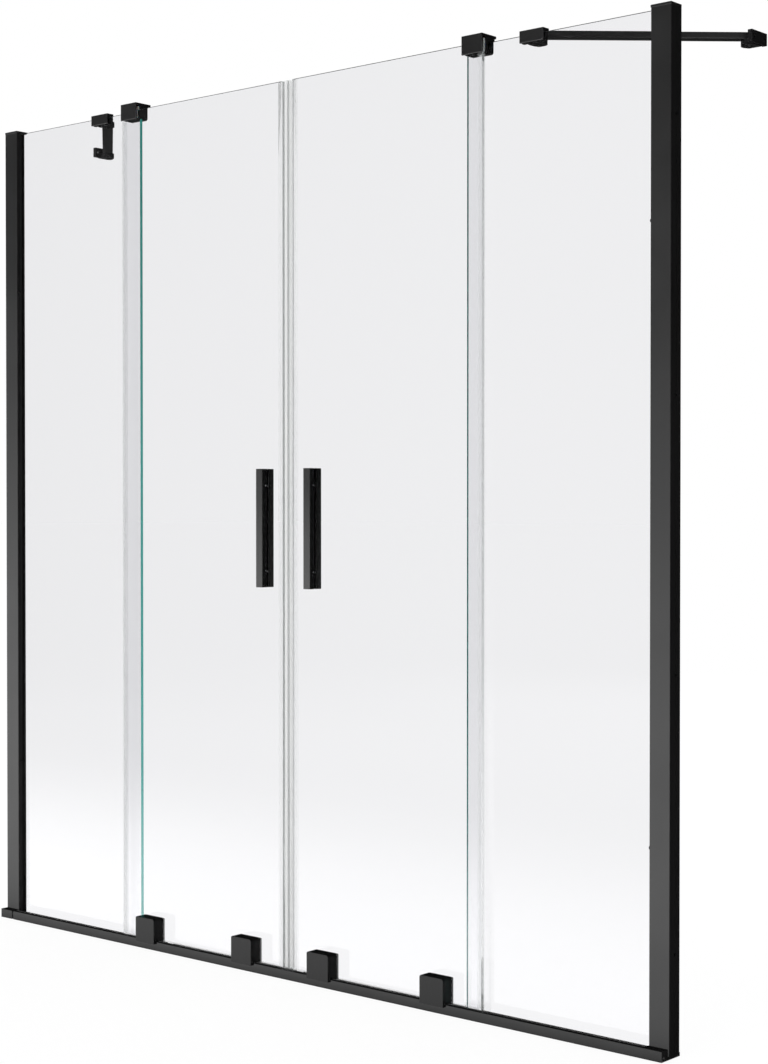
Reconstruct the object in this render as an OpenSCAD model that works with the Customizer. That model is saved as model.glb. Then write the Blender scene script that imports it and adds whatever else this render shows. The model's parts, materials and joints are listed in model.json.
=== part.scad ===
// Sliding shower screen for a recess: two fixed panes at the walls and two sliding doors
// that meet in the middle. The doors roll on the front lip of a low bottom rail.
// X runs along the rail, Y runs from the room into the shower and Z is up.
// The origin is the middle of the rail's underside. Inside the modules every depth in Y is
// counted from the rail's front face, and each right-hand piece is mirrored for the left.

/* [Screen] */
// Width of the recess, wall to wall
screen_w = 1500; // [1400:10:1700]
// Height from the rail's underside to the top of the profile caps
screen_h = 1506.7; // [1300:0.1:1900]

/* [Glass] */
// Thickness of every pane
glass_t = 6; // [5:0.5:8]
// Width of each sliding pane
door_w = 400.4; // [390:0.1:430]
// Distance from the middle of the screen to the edge of each sliding pane
door_gap = 11.5; // [10:0.1:14]
// How far a closed door runs past the free edge of the fixed pane
overlap = 37.3; // [30:0.1:45]
// Depth of the front face of the sliding panes
door_y = 14.7; // [14.5:0.1:15.5]
// Air between the sliding panes and the fixed panes
pane_gap = 6.4; // [6.4:0.1:8]
// Height of the bottom edge of the sliding panes
door_lift = 9; // [8:0.1:12]
// Height of the bottom edge of the fixed panes
fixed_lift = 6; // [5.8:0.1:8]
// Top edge of the fixed panes below the top of the profile caps
fixed_drop = 5.2; // [4.6:0.1:8]
// Top edge of the sliding panes below that of the fixed panes
door_drop = 0.6; // [0:0.1:3]
// Ground arris along the upright edges of each pane
arris = 0.5; // [0.3:0.1:1]

/* [Bottom rail] */
// Thickness of the front lip
lip_t = 10; // [9:0.1:12]
// Height of the front lip
lip_h = 16; // [14:0.1:18]
// Wall of the extrusion
rail_t = 2; // [1.6:0.1:2.4]
// Depth of the wheel track in the top of the lip
track_d = 1; // [0.6:0.1:1.4]
// Edge left on each side of the wheel track
track_edge = 1.2; // [1:0.1:1.5]
// Rail beyond the back of the wall profiles
rail_margin = 5; // [3:0.1:8]
// Height of the front wall of the glazing channel
glazing_front_h = 10; // [8:0.1:10]
// Height of the back wall of the glazing channel
glazing_back_h = 8; // [6:0.1:10]
// Thickness of both walls of the glazing channel
glazing_wall = 1.4; // [1:0.1:2]
// Height of the rail's back edge and of the cap's foot under the wall profile
back_edge_h = 5.5; // [4:0.1:5.6]
// Radius of the lip's top edges
lip_r = 0.8; // [0.4:0.1:1]
// Bore of the screw port inside the lip
port_r = 1.5; // [1.3:0.05:1.7]
// Thickness of the strips that hold the fixed panes in the glazing channel
strip_t = 1.4; // [1.2:0.1:2]
// Length of the end cap's plug inside the lip
plug_l = 18; // [10:1:30]
// Gap between each end cap and the wall
end_gap = 2.2; // [1:0.1:5]
// Gap left open between the rail and its left end cap
rail_slack = 4; // [0:0.5:6]
// Space between the weep slots in the back edge
weep_step = 320; // [200:10:400]
// Length of each weep slot
weep_l = 16; // [10:1:30]

/* [Wall profiles] */
// Width of the profile as seen from the front
channel_w = 34.4; // [33:0.1:38]
// Depth of the profile's front face
channel_front = 16.5; // [16.4:0.1:18]
// Wall of the glass channel
profile_t = 1.8; // [1.4:0.1:2]
// Thickness of the glazing gasket on each face of the fixed pane
gasket_t = 1.2; // [1:0.1:1.5]
// Wall of the pocket that holds the fixed pane
pocket_t = 1.4; // [1:0.1:1.8]
// Distance from the wall to the bottom of the pocket
pocket_end = 14.6; // [12:0.1:16]
// Distance from the wall to the hidden edge of the fixed pane
pane_edge = 18; // [17.5:0.1:20]
// Air between the pocket and the back wall of the glass channel
pocket_gap = 1; // [0.5:0.1:2]
// Gap between the nested channels
nest_gap = 0.2; // [0.15:0.05:0.4]
// Wall of the wall channel
wall_t = 1.8; // [1.4:0.1:2]
// Space between the glass channel and the wall channel's back leg
leg_space = 2.7; // [2:0.1:4]
// Length of the wall channel's front leg from the wall
front_leg = 28; // [24:0.5:30]
// Length of the wall channel's back leg from the wall
back_leg = 22; // [18:0.5:26]
// Radius of the glass channel's outer corners
channel_r = 0.8; // [0.3:0.1:1.2]
// Radius of the wall screw holes
wall_hole_r = 2.6; // [2.1:0.1:3.1]
// Height of the lowest wall screw hole
wall_hole_low = 150; // [100:10:250]
// Top wall screw hole below the top of the profiles
wall_hole_drop = 152.7; // [100:0.1:250]
// Distance between the wall screw holes of the lower pair, and of the upper pair
wall_hole_step = 400; // [300:10:420]
// Number of wall screw holes in each profile
wall_holes = 4; // [2:1:4]
// Thickness of the profile caps
cap_t = 4; // [3:0.1:4.2]
// Overhang of the profile caps
cap_over = 0.6; // [0.3:0.1:1]
// Length of the profile cap's plugs
cap_plug = 14; // [8:1:30]
// Lowest joining screw between the nested channels
join_low = 120; // [80:10:300]
// Distance from the lowest joining screw to the middle one
join_step = 630; // [400:10:650]
// Top joining screw below the top of the profiles
join_drop = 122.7; // [80:0.1:300]

/* [Rollers] */
// Distance from the middle to the inner roller
roller_near = 88.3; // [86:0.1:95]
// Distance from the middle to the outer roller
roller_far = 330.3; // [300:0.1:335]
// Radius of the wheel
wheel_r = 12; // [10:0.1:13]
// Width of the wheel
wheel_w = 7; // [6:0.1:7]
// Radius of the stub axle
axle_r = 4; // [3:0.1:4.5]
// Width of the roller cover
cover_w = 47.5; // [46:0.1:54]
// Depth of the roller cover's front face in front of the rail
cover_proud = 8.7; // [7:0.1:12]
// Height of the bottom edge of the cover's skirt
cover_low = 13; // [11:0.1:15]
// Height of the top of the cover
cover_top = 57.8; // [57:0.1:62]
// Wall of the roller cover
cover_t = 2; // [1.6:0.1:2.4]
// Radius of the cover's top corners
cover_r = 4; // [2.5:0.1:6]
// Thickness of the pad between the carriage and the glass
roller_pad = 1.6; // [1.2:0.1:2]
// Thickness of the carriage plate
carriage_t = 2; // [1.6:0.1:2.4]
// Thickness of the pad between the glass and the back plate
back_pad_t = 0.5; // [0.3:0.1:1]
// Thickness of the back plate behind the glass
back_plate_t = 2; // [1.6:0.1:2.4]
// Height of the bottom edge of the carriage plate
carriage_low = 18; // [17.5:0.1:20]
// Height of the bottom edge of the back plate and of the pads
back_plate_low = 12; // [11:0.1:14]
// Half the distance between the two roller bolts
bolt_dx = 13; // [11:0.1:14]
// Height of the roller bolts
bolt_z = 45; // [44:0.1:46]
// Radius of the roller bolts
bolt_r = 2.5; // [2:0.1:3]
// Radius of the roller bolts' heads
bolt_head_r = 4.5; // [4:0.1:5]
// Height of the roller bolts' heads
bolt_head_t = 1.6; // [1.2:0.1:2]

/* [Handles] */
// Distance from the middle to the centre of each handle
handle_x = 54.8; // [40:0.1:56]
// Width of the handle bars
handle_w = 14.8; // [12:0.1:18]
// Length of the handle bars
handle_l = 200; // [180:1:300]
// Height of the middle of the handles
handle_z = 753.6; // [700:0.1:900]
// Depth of the bar on the room side
bar_front_d = 11.95; // [10:0.05:14]
// Depth of the bar on the shower side
bar_back_d = 12.3; // [10:0.05:14]
// Thickness of the gasket under each bar
handle_pad = 0.5; // [0.3:0.1:1]
// Radius of the bars' edges
handle_r = 1; // [0.5:0.1:2]
// Distance from the middle of the handle to each stud
stud_dz = 72; // [50:1:85]
// Radius of the studs through the glass
stud_r = 3; // [2.5:0.1:3.5]
// Radius of the grub screws in the bars
grub_r = 2; // [1.5:0.1:2.3]

/* [Seals] */
// Wall of the clear seals
seal_t = 0.8; // [0.6:0.1:1]
// Grip of the meeting seal on the glass
meet_grip = 9.2; // [7:0.1:12]
// Grip of the fin seal on the glass
fin_grip = 8; // [6:0.1:12]
// Half the gap between the two meeting seals
meet_gap = 0.15; // [0.15:0.05:0.4]
// Height of the magnet strip across the chamber
magnet_d = 5; // [4:0.1:5.5]
// Height of the sweep seal's wings on the glass
sweep_grip = 8; // [6:0.1:8]

/* [Top guides] */
// Web of the guide that closes round the fixed pane's free edge
guide_web = 1.8; // [1.5:0.1:3]
// Width of the guide
guide_w = 40.7; // [38:0.1:50]
// Top of the guide above the fixed pane
guide_rise = 13.1; // [12:0.1:18]
// Height of the guide
guide_h = 29.3; // [28:0.1:36]
// Thickness of the guide's lid
lid_t = 4; // [3:0.1:5]
// Depth of the guide body behind the fixed pane
guide_rear = 10.65; // [9:0.05:14]
// Overhang of the lid behind the body
lid_over = 4.75; // [2:0.05:6]
// Thickness of the hood's front plate
hood_t = 2.15; // [1.8:0.05:2.2]
// Running gap on each face of the sliding pane
slide_gap = 0.4; // [0.3:0.05:0.6]
// Thickness of the nylon glide
glide_t = 1.6; // [1.2:0.1:1.6]

/* [Stays] */
// Distance from the left wall to the centre of the left stay's glass clamp
stay_reach_left = 263.5; // [220:0.1:300]
// Distance from the right wall to the centre of the right stay's glass clamp
stay_reach_right = 252.7; // [220:0.1:300]
// Width of the glass clamps and of the wall plates
clamp_w = 44.8; // [42:0.1:50]
// Height of the glass clamps and of the wall plates
clamp_h = 18.6; // [18:0.1:22]
// Top of the glass clamps above the fixed pane
clamp_rise = 7.1; // [6:0.1:10]
// Thickness of the clamp's front jaw
jaw_t = 2; // [1.5:0.1:2.1]
// Thickness of the clamp's back jaw
back_jaw_t = 6.4; // [6:0.1:9]
// Radius of the round lugs under the bar
lug_r = 12.5; // [11:0.1:14]
// Height of the lugs
lug_h = 9.2; // [7:0.1:9.2]
// Underside of the lugs below that of the clamps
lug_drop = 1.5; // [1:0.1:2]
// Distance from the back of the glass clamp to its pivot
pivot_back = 8; // [8:0.1:12]
// Depth of the far pivot behind the rail's front face
stay_depth = 262; // [200:1:400]
// Distance from the wall to the far pivot
pivot_wall = 18; // [18:0.1:24]
// Thickness of the wall plates
plate_t = 7.6; // [5:0.1:7.6]
// Width of the bar
bar_w = 20; // [16:0.1:20]
// Height of the bar
bar_h = 10; // [8:0.1:10]
// Near end of the bar past the pivot, less than half its width by this much
bar_setback = 3.6; // [3.6:0.1:6]
// Radius of the pivot screws
pivot_r = 3; // [2.5:0.1:3.5]
// Distance from the middle of the wall plate to each screw hole
plate_hole_dy = 16; // [14:0.1:18]
// Radius of the wall plate's screw holes
plate_hole_r = 2.6; // [2:0.1:3]

/* [Small parts] */
// Thickness of the pads between the clamps and the glass
pad_t = 0.5; // [0.3:0.1:1]
// Radial clearance of screws, studs and axles in their holes
fit = 0.05; // [0.02:0.01:0.1]
// Gap between pieces that move past each other
run_gap = 0.3; // [0.3:0.05:0.4]
// Radius of the door buffers
buffer_r = 2.5; // [2:0.1:3]
// Thickness of the door buffers
buffer_t = 2.6; // [2:0.1:4]
// Height of the lower door buffers
buffer_low = 300; // [200:10:500]
// Height of the upper door buffers
buffer_high = 1200; // [900:10:1250]

/* [Hidden] */
$fn = 48;
// Excess that lets a cut run past a face
cut = 1;

// Depths, from the rail's front face backwards
door_back = door_y + glass_t;
fixed_y = door_back + pane_gap;
fixed_back = fixed_y + glass_t;
pocket_front = fixed_y - gasket_t;
pocket_back = fixed_back + gasket_t;
channel_back = pocket_back + pocket_t + pocket_gap + profile_t;
wall_front = channel_front + profile_t + nest_gap;
wall_back = channel_back + leg_space + wall_t;
rail_d = wall_back + rail_margin;

// Distances from the middle along X
wall_x = screen_w / 2;
rail_x = wall_x - channel_w;
end_x = wall_x - end_gap;
door_x = door_gap + door_w;
free_x = door_x - overlap;
pane_x = wall_x - pane_edge;

// Heights
profile_top = screen_h - cap_t;
fixed_top = screen_h - fixed_drop;
door_top = fixed_top - door_drop;

// Lip, hollow and plug
lip_in = lip_t - rail_t;
hollow_top = lip_h - track_d - rail_t;
port_wall = 1.4;
port_y = lip_t / 2;
port_z = rail_t + port_r + port_wall / 2;
plug_gap = 0.15;
plug_low = port_z + port_r + port_wall + plug_gap;
glazing_front = fixed_y - strip_t;
glazing_back = fixed_back + strip_t;

// Nested wall profiles
wall_clear = 0.4;
wall_hole_y = (wall_front + wall_back) / 2;
wall_hole_heights = [
    for (i = [0 : ceil(wall_holes / 2) - 1]) wall_hole_low + i * wall_hole_step,
    for (i = [0 : floor(wall_holes / 2) - 1]) profile_top - wall_hole_drop - i * wall_hole_step
];
web_line_d = 0.5;
web_line_step = 5.5;
web_lines = [wall_hole_y, wall_hole_y + web_line_step];
leg_t = 1.6;
join_a = 12;
join_x = wall_x - join_a;
join_r = 1.75;
join_land = 7;
join_head_r = 3.4;
join_head_t = 1.8;
join_heights = [join_low, join_low + join_step, profile_top - join_drop];
gasket_lip = 1.5;
gasket_lip_side = 0.6;

// Door buffers
buffer_inset = 2.5;
buffer_y = channel_front + buffer_inset + buffer_r;
buffer_heights = [buffer_low, buffer_high];
buffer_stem_r = 1.4;
buffer_stem_l = 3;

// Blocks under the fixed panes
block_l = 40;
block_in = 60;

// End caps and their screws
foot_back = channel_front - nest_gap;
cap_screw_head_r = 2.7;
cap_screw_head_t = 2;
cap_screw_seat = 6;
cap_screw_l = 22;

// Rollers
track_z = lip_h - track_d;
axle_z = track_z + run_gap + wheel_r;
wheel_y = (lip_t - wheel_w) / 2;
wheel_hub_t = 2;
wheel_rim_t = 2.4;
wheel_recess = 1.2;
wheel_edge = 0.8;
roller_xs = [roller_near, roller_far];
lip_clear = 0.6;
cover_edge_r = 0.6;
carriage_back = door_y - roller_pad;
carriage_front = carriage_back - carriage_t;
carriage_gap = 0.4;
plate_half = cover_w / 2 - cover_t - carriage_gap;
plate_top = cover_top - cover_t - carriage_gap;
plate_r = cover_r - cover_t;
back_plate_y = door_back + back_pad_t;
back_plate_back = back_plate_y + back_plate_t;
axle_head_wall = 1.5;
axle_head_r = axle_r + axle_head_wall;
axle_head_t = 1.4;
axle_boss_t = 2.5;
axle_boss_r = axle_r + axle_boss_t;
bolt_xs = [for (x = roller_xs, dx = [-bolt_dx, bolt_dx]) x + dx];
bolt_end = 1;
bush_r = 4.9;
bush_wall_gap = 0.1;
bush_end = 0.3;
bolt_hole_r = bush_r + bush_wall_gap;

// Handles
bar_front_back = door_y - handle_pad;
bar_back_front = door_back + handle_pad;
stud_in = 7;
stud_bush_r = 5.9;
stud_hole_r = stud_bush_r + bush_wall_gap;
stud_heights = [handle_z - stud_dz, handle_z + stud_dz];
grub_wall = 0.5;
grub_y = bar_front_back - grub_r - grub_wall;
grub_in = 0.6;
hex_r = 1.2;
hex_d = 1.5;
pad_inset = 1;

// Seals
seal_front = door_y - seal_t;
seal_back = door_back + seal_t;
magnet_gap = 0.05;
fin_lean = 3.8;
fin_clear = 1;
fin_drop = 1.3;
blade_clear = 0.6;

// Guides
guide_x = free_x - guide_web;
guide_top = fixed_top + guide_rise;
guide_low = guide_top - guide_h;
guide_front = door_back + slide_gap + glide_t;
guide_back = fixed_back + guide_rear;
hood_back = door_y - slide_gap;
hood_front = hood_back - hood_t;
guide_r = 4;
hood_r = 1;
slot_clear = 0.5;
glide_inset = 3;
glide_pin_r = 1.5;
glide_pin_l = 2.5;
lid_screw_r = 1.5;
lid_screw_l = 12;
lid_screw_head_r = 3;
lid_screw_head_t = 1.7;
lid_screw_y = fixed_back + pad_t + guide_rear / 2;
guide_screw_in = 10;
guide_screw_xs = [guide_x + guide_screw_in, guide_x + guide_w - guide_screw_in];
glide_pin_z = guide_low + guide_h / 2;
clamp_grub_r = 2.5;
clamp_grub_in = 1;
guide_grub_up = 7.5;
guide_grub_z = guide_low + guide_grub_up;

// Stays
clamp_top = fixed_top + clamp_rise;
clamp_low = clamp_top - clamp_h;
clamp_front = fixed_y - pad_t - jaw_t;
clamp_back = fixed_back + pad_t + back_jaw_t;
clamp_r = 1;
lug_low = clamp_low - lug_drop;
lug_top = lug_low + lug_h;
pivot_y = clamp_back + pivot_back;
far_x = wall_x - pivot_wall;
bar_low = lug_top + run_gap;
bar_top = bar_low + bar_h;
pivot_head_r = 5;
pivot_head_t = 2.2;
pivot_cover = 3;
clamp_grub_inset = 5;
clamp_grub_dx = clamp_w / 2 - clamp_grub_inset;
clamp_grub_z = clamp_low + clamp_grub_inset;
plate_x = wall_x - plate_t;
plate_low = clamp_low;
plate_hole_z = plate_low + clamp_h / 2;
sink_d = 1.4;

function stay_x(side) = wall_x - (side < 0 ? stay_reach_left : stay_reach_right);

// Puts a piece in the screen's frame and mirrors it for the left side, where side is -1
module placed(side = 1) {
    translate([0, -rail_d / 2, 0])
        if (side < 0) mirror([1, 0, 0]) children();
        else children();
}

// Extrudes a section drawn in Y and Z from x0 to x1
module along_x(x0, x1) {
    translate([x0, 0, 0]) rotate([90, 0, 90]) linear_extrude(x1 - x0) children();
}

// Extrudes an outline drawn in X and Z from y0 to y1
module along_y(y0, y1) {
    translate([0, y1, 0]) rotate([90, 0, 0]) linear_extrude(y1 - y0) children();
}

// Extrudes a section drawn in X and Y from z0 to z1
module along_z(z0, z1) {
    translate([0, 0, z0]) linear_extrude(z1 - z0) children();
}

module rect(a0, a1, b0, b1) {
    translate([a0, b0]) square([a1 - a0, b1 - b0]);
}

// Rectangle in the profile's plan, with the first two numbers counted from the wall
module wall_rect(from, to, y0, y1) {
    rect(wall_x - to, wall_x - from, y0, y1);
}

module round_rect(a0, a1, b0, b1, r) {
    rect(a0 + r, a1 - r, b0, b1);
    rect(a0, a1, b0 + r, b1 - r);
    for (a = [a0 + r, a1 - r], b = [b0 + r, b1 - r]) translate([a, b]) circle(r);
}

// Rectangle with round corners at its top only
module top_round_rect(a0, a1, b0, b1, r) {
    round_rect(a0, a1, b0, b1, r);
    rect(a0, a1, b0, (b0 + b1) / 2);
}

module box(x0, x1, y0, y1, z0, z1) {
    translate([x0, y0, z0]) cube([x1 - x0, y1 - y0, z1 - z0]);
}

// Block whose twelve edges are rounded
module soft_block(x0, x1, y0, y1, z0, z1, r) {
    intersection() {
        along_z(z0, z1) round_rect(x0, x1, y0, y1, r);
        along_y(y0, y1) round_rect(x0, x1, z0, z1, r);
        along_x(x0, x1) round_rect(y0, y1, z0, z1, r);
    }
}

module rod_x(x0, x1, y, z, r) {
    translate([x0, y, z]) rotate([0, 90, 0]) cylinder(r = r, h = x1 - x0);
}

module rod_y(x, y0, y1, z, r) {
    translate([x, y1, z]) rotate([90, 0, 0]) cylinder(r = r, h = y1 - y0);
}

module rod_z(x, y, z0, z1, r) {
    translate([x, y, z0]) cylinder(r = r, h = z1 - z0);
}

// Bottom rail: a hollow lip with a wheel track, a gutter and a glazing channel
module rail_section() {
    difference() {
        union() {
            top_round_rect(0, lip_t, 0, lip_h, lip_r);
            rect(0, rail_d, 0, rail_t);
            rect(glazing_front - glazing_wall, glazing_front, 0, glazing_front_h);
            rect(glazing_back, glazing_back + glazing_wall, 0, glazing_back_h);
            rect(rail_d - rail_t, rail_d, 0, back_edge_h);
        }
        difference() {
            rect(rail_t, lip_in, rail_t, hollow_top);
            translate([port_y, port_z]) circle(port_r + port_wall);
        }
        translate([port_y, port_z]) circle(port_r);
        rect(track_edge, lip_t - track_edge, track_z, lip_h + cut);
    }
}

module bottom_rail() {
    color([0.09, 0.09, 0.1]) placed() difference() {
        along_x(rail_slack - rail_x, rail_x) rail_section();
        for (x = [-weep_step : weep_step : weep_step]) {
            box(x - weep_l / 2, x + weep_l / 2, glazing_back - cut / 2, rail_d + cut, rail_t, back_edge_h + glazing_back_h);
        }
    }
}

// End cap: continues the lip to the wall and gives the wall profile its foot
module rail_cap(side) {
    color([0.07, 0.07, 0.08]) placed(side) difference() {
        union() {
            along_x(rail_x, end_x) {
                top_round_rect(0, foot_back, 0, lip_h, lip_r);
                rect(0, rail_d, 0, back_edge_h);
            }
            along_x(rail_x - plug_l, rail_x + cut)
                rect(rail_t + plug_gap, lip_in - plug_gap, plug_low, hollow_top - plug_gap);
        }
        rod_x(rail_x - cut, end_x + cut, port_y, port_z, port_r + fit);
        rod_x(rail_x + cap_screw_seat, end_x + cut, port_y, port_z, cap_screw_head_r + fit);
    }
}

// Outer profile that holds the fixed pane, with rounded outer corners
module glass_channel_section() {
    intersection() {
        union() {
            wall_rect(wall_clear, channel_w, channel_front, channel_front + profile_t);
            wall_rect(channel_w - profile_t, channel_w, channel_front, pocket_front);
            wall_rect(channel_w - profile_t, channel_w, pocket_back, channel_back);
            wall_rect(pocket_end, channel_w, pocket_front - pocket_t, pocket_front);
            wall_rect(pocket_end, channel_w, pocket_back, pocket_back + pocket_t);
            wall_rect(pocket_end, pocket_end + pocket_t, pocket_front - pocket_t, pocket_back + pocket_t);
            wall_rect(join_a - join_land, channel_w, channel_back - profile_t, channel_back);
        }
        round_rect(rail_x, wall_x + channel_r, channel_front, channel_back, channel_r);
    }
}

module glass_channel(side) {
    color([0.09, 0.09, 0.1]) placed(side) difference() {
        along_z(back_edge_h, profile_top) glass_channel_section();
        for (z = buffer_heights) rod_x(rail_x - cut, rail_x + profile_t + cut, buffer_y, z, buffer_stem_r + fit);
        for (z = join_heights) rod_y(join_x, channel_back - profile_t - cut, channel_back + cut, z, join_r + fit);
    }
}

// Inner channel that is screwed to the wall
module wall_channel_section() {
    difference() {
        wall_rect(0, wall_t, wall_front, wall_back);
        for (y = web_lines) wall_rect(-cut, web_line_d, y - web_line_d, y + web_line_d);
    }
    wall_rect(0, front_leg, wall_front, wall_front + leg_t);
    wall_rect(0, back_leg, wall_back - wall_t, wall_back);
    wall_rect(back_leg - wall_t, back_leg, channel_back + nest_gap, wall_back);
}

module wall_channel(side) {
    color([0.05, 0.05, 0.06]) placed(side) difference() {
        along_z(back_edge_h, profile_top) wall_channel_section();
        for (z = wall_hole_heights) rod_x(wall_x - wall_t - cut, wall_x + cut, wall_hole_y, z, wall_hole_r);
        for (z = join_heights) rod_y(join_x, wall_back - wall_t - cut, wall_back + cut, z, join_r + fit);
    }
}

// Cap over both nested channels, with two plugs
module profile_cap(side) {
    color([0.06, 0.06, 0.07]) placed(side) {
        soft_block(wall_x - channel_w - cap_over, wall_x, channel_front - cap_over, wall_back + cap_over,
                   profile_top, screen_h, cap_over);
        along_z(profile_top - cap_plug, profile_top + cap_t / 2) {
            wall_rect(pocket_end + pocket_t, front_leg, wall_front + leg_t + nest_gap, pocket_front - pocket_t - nest_gap);
            wall_rect(wall_t + nest_gap, pocket_end - nest_gap, wall_front + leg_t + nest_gap, pocket_back);
        }
    }
}

// Two gaskets that grip the fixed pane in its pocket, each with a lip outside the slot
module channel_gaskets(side) {
    depth = channel_w - pane_edge - arris;
    color([0.03, 0.03, 0.03]) placed(side) along_z(glazing_front_h + run_gap, fixed_top) {
        wall_rect(channel_w - depth, channel_w + gasket_lip, pocket_front, fixed_y);
        wall_rect(channel_w, channel_w + gasket_lip, pocket_front - gasket_lip_side, fixed_y);
        wall_rect(channel_w - depth, channel_w + gasket_lip, fixed_back, pocket_back);
        wall_rect(channel_w, channel_w + gasket_lip, fixed_back, pocket_back + gasket_lip_side);
    }
}

// Pane with its upright edges ground to an arris
module pane(x0, x1, y0, z0, z1) {
    y1 = y0 + glass_t;
    along_z(z0, z1) polygon([
        [x0, y0 + arris], [x0 + arris, y0], [x1 - arris, y0], [x1, y0 + arris],
        [x1, y1 - arris], [x1 - arris, y1], [x0 + arris, y1], [x0, y1 - arris]
    ]);
}

module fixed_glass(side) {
    color([0.75, 0.87, 0.85, 0.35]) placed(side) pane(free_x, pane_x, fixed_y, fixed_lift, fixed_top);
}

// Screws of the end caps and of the nested channels
module frame_screws() {
    color([0.25, 0.25, 0.26]) for (side = [-1, 1]) placed(side) {
        rod_x(rail_x + cap_screw_seat - cap_screw_l, rail_x + cap_screw_seat, port_y, port_z, port_r);
        rod_x(rail_x + cap_screw_seat, rail_x + cap_screw_seat + cap_screw_head_t, port_y, port_z, cap_screw_head_r);
        for (z = join_heights) {
            rod_y(join_x, channel_back - profile_t - cut, wall_back, z, join_r);
            rod_y(join_x, wall_back, wall_back + join_head_t, z, join_head_r);
        }
    }
}

// Strips that hold the fixed panes in the rail's glazing channel
module glazing_strips() {
    color([0.03, 0.03, 0.03]) for (side = [-1, 1]) placed(side) {
        x0 = free_x + arris;
        x1 = rail_x - (side < 0 ? rail_slack : 0);
        box(x0, x1, glazing_front, fixed_y, rail_t, glazing_front_h - run_gap);
        box(x0, x1, fixed_back, glazing_back, rail_t, glazing_back_h - run_gap);
    }
}

// Blocks that the fixed panes stand on
module setting_blocks() {
    color([0.12, 0.12, 0.12]) for (side = [-1, 1]) placed(side) {
        for (x = [free_x + block_in, rail_x - block_in])
            box(x - block_l / 2, x + block_l / 2, fixed_y, fixed_back, rail_t, fixed_lift);
    }
}

// Rubber buffers that stop the open doors short of the wall profiles
module door_buffers() {
    color([0.03, 0.03, 0.03]) for (side = [-1, 1], z = buffer_heights) placed(side) {
        rod_x(rail_x - buffer_t, rail_x, buffer_y, z, buffer_r);
        rod_x(rail_x - buffer_t / 2, rail_x + buffer_stem_l, buffer_y, z, buffer_stem_r);
    }
}

// Top guide: a body clamped on the fixed pane's free corner
module guide_body(side) {
    x1 = guide_x + guide_w;
    z1 = guide_top - lid_t;
    color([0.07, 0.07, 0.08]) placed(side) difference() {
        along_y(guide_front, guide_back) {
            round_rect(guide_x, x1, guide_low, z1, guide_r);
            rect(guide_x, x1, (guide_low + z1) / 2, z1);
        }
        box(free_x - run_gap, x1 + cut, fixed_y - pad_t, fixed_back + pad_t, guide_low - cut, fixed_top + slot_clear);
        for (x = guide_screw_xs) {
            rod_y(x, fixed_back, guide_back + cut, guide_grub_z, clamp_grub_r + fit);
            rod_z(x, lid_screw_y, z1 - lid_screw_l, z1 + cut, lid_screw_r + fit);
            rod_y(x, guide_front - cut, guide_front + glide_pin_l + fit, glide_pin_z, glide_pin_r + fit);
        }
    }
}

// Hood: the guide's lid and front plate, which keep the sliding pane upright
module guide_hood(side) {
    x1 = guide_x + guide_w;
    lid_back = guide_back + lid_over;
    z_lid = guide_top - lid_t;
    color([0.08, 0.08, 0.09]) placed(side) difference() {
        intersection() {
            along_x(guide_x, x1) difference() {
                round_rect(hood_front, lid_back, guide_low, guide_top, hood_r);
                rect(hood_back, lid_back + cut, guide_low - cut, z_lid);
            }
            along_y(hood_front, lid_back) round_rect(guide_x, x1, guide_low, guide_top, hood_r);
            along_z(guide_low, guide_top) round_rect(guide_x, x1, hood_front, lid_back, hood_r);
        }
        for (x = guide_screw_xs) {
            rod_z(x, lid_screw_y, z_lid - cut, guide_top + cut, lid_screw_r + fit);
            rod_z(x, lid_screw_y, guide_top - lid_screw_head_t, guide_top + cut, lid_screw_head_r + fit);
        }
    }
}

// Nylon glides on the front of the guide bodies
module guide_glides() {
    color([0.85, 0.85, 0.83]) for (side = [-1, 1]) placed(side) {
        along_y(guide_front - glide_t, guide_front)
            round_rect(guide_x + glide_inset, guide_x + guide_w - glide_inset, guide_low + glide_inset,
                       guide_top - lid_t - glide_inset / 2, glide_inset / 2);
        for (x = guide_screw_xs)
            rod_y(x, guide_front - glide_t / 2, guide_front + glide_pin_l, glide_pin_z, glide_pin_r);
    }
}

// Stay clamp over the fixed pane's top edge, with a lug behind it
module stay_clamp(side) {
    x = stay_x(side);
    color([0.07, 0.07, 0.08]) placed(side) difference() {
        union() {
            soft_block(x - clamp_w / 2, x + clamp_w / 2, clamp_front, clamp_back, clamp_low, clamp_top, clamp_r);
            rod_z(x, pivot_y, lug_low, lug_top, lug_r);
            box(x - lug_r, x + lug_r, clamp_back - back_jaw_t / 2, pivot_y, lug_low, lug_top);
        }
        box(x - clamp_w, x + clamp_w, fixed_y - pad_t, fixed_back + pad_t, lug_low - cut, fixed_top + slot_clear);
        for (dx = [-clamp_grub_dx, clamp_grub_dx])
            rod_y(x + dx, fixed_back, clamp_back + cut, clamp_grub_z, clamp_grub_r + fit);
        rod_z(x, pivot_y, lug_low - cut, lug_top + cut, pivot_r + fit);
    }
}

// Pivot screw with its head under a lug
module pivot_screw(x, y) {
    rod_z(x, y, lug_low - pivot_head_t, lug_low, pivot_head_r);
    rod_z(x, y, lug_low, bar_top - pivot_cover, pivot_r);
}

module stay_pivots() {
    color([0.2, 0.2, 0.21]) for (side = [-1, 1]) placed(side) pivot_screw(stay_x(side), pivot_y);
}

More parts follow.
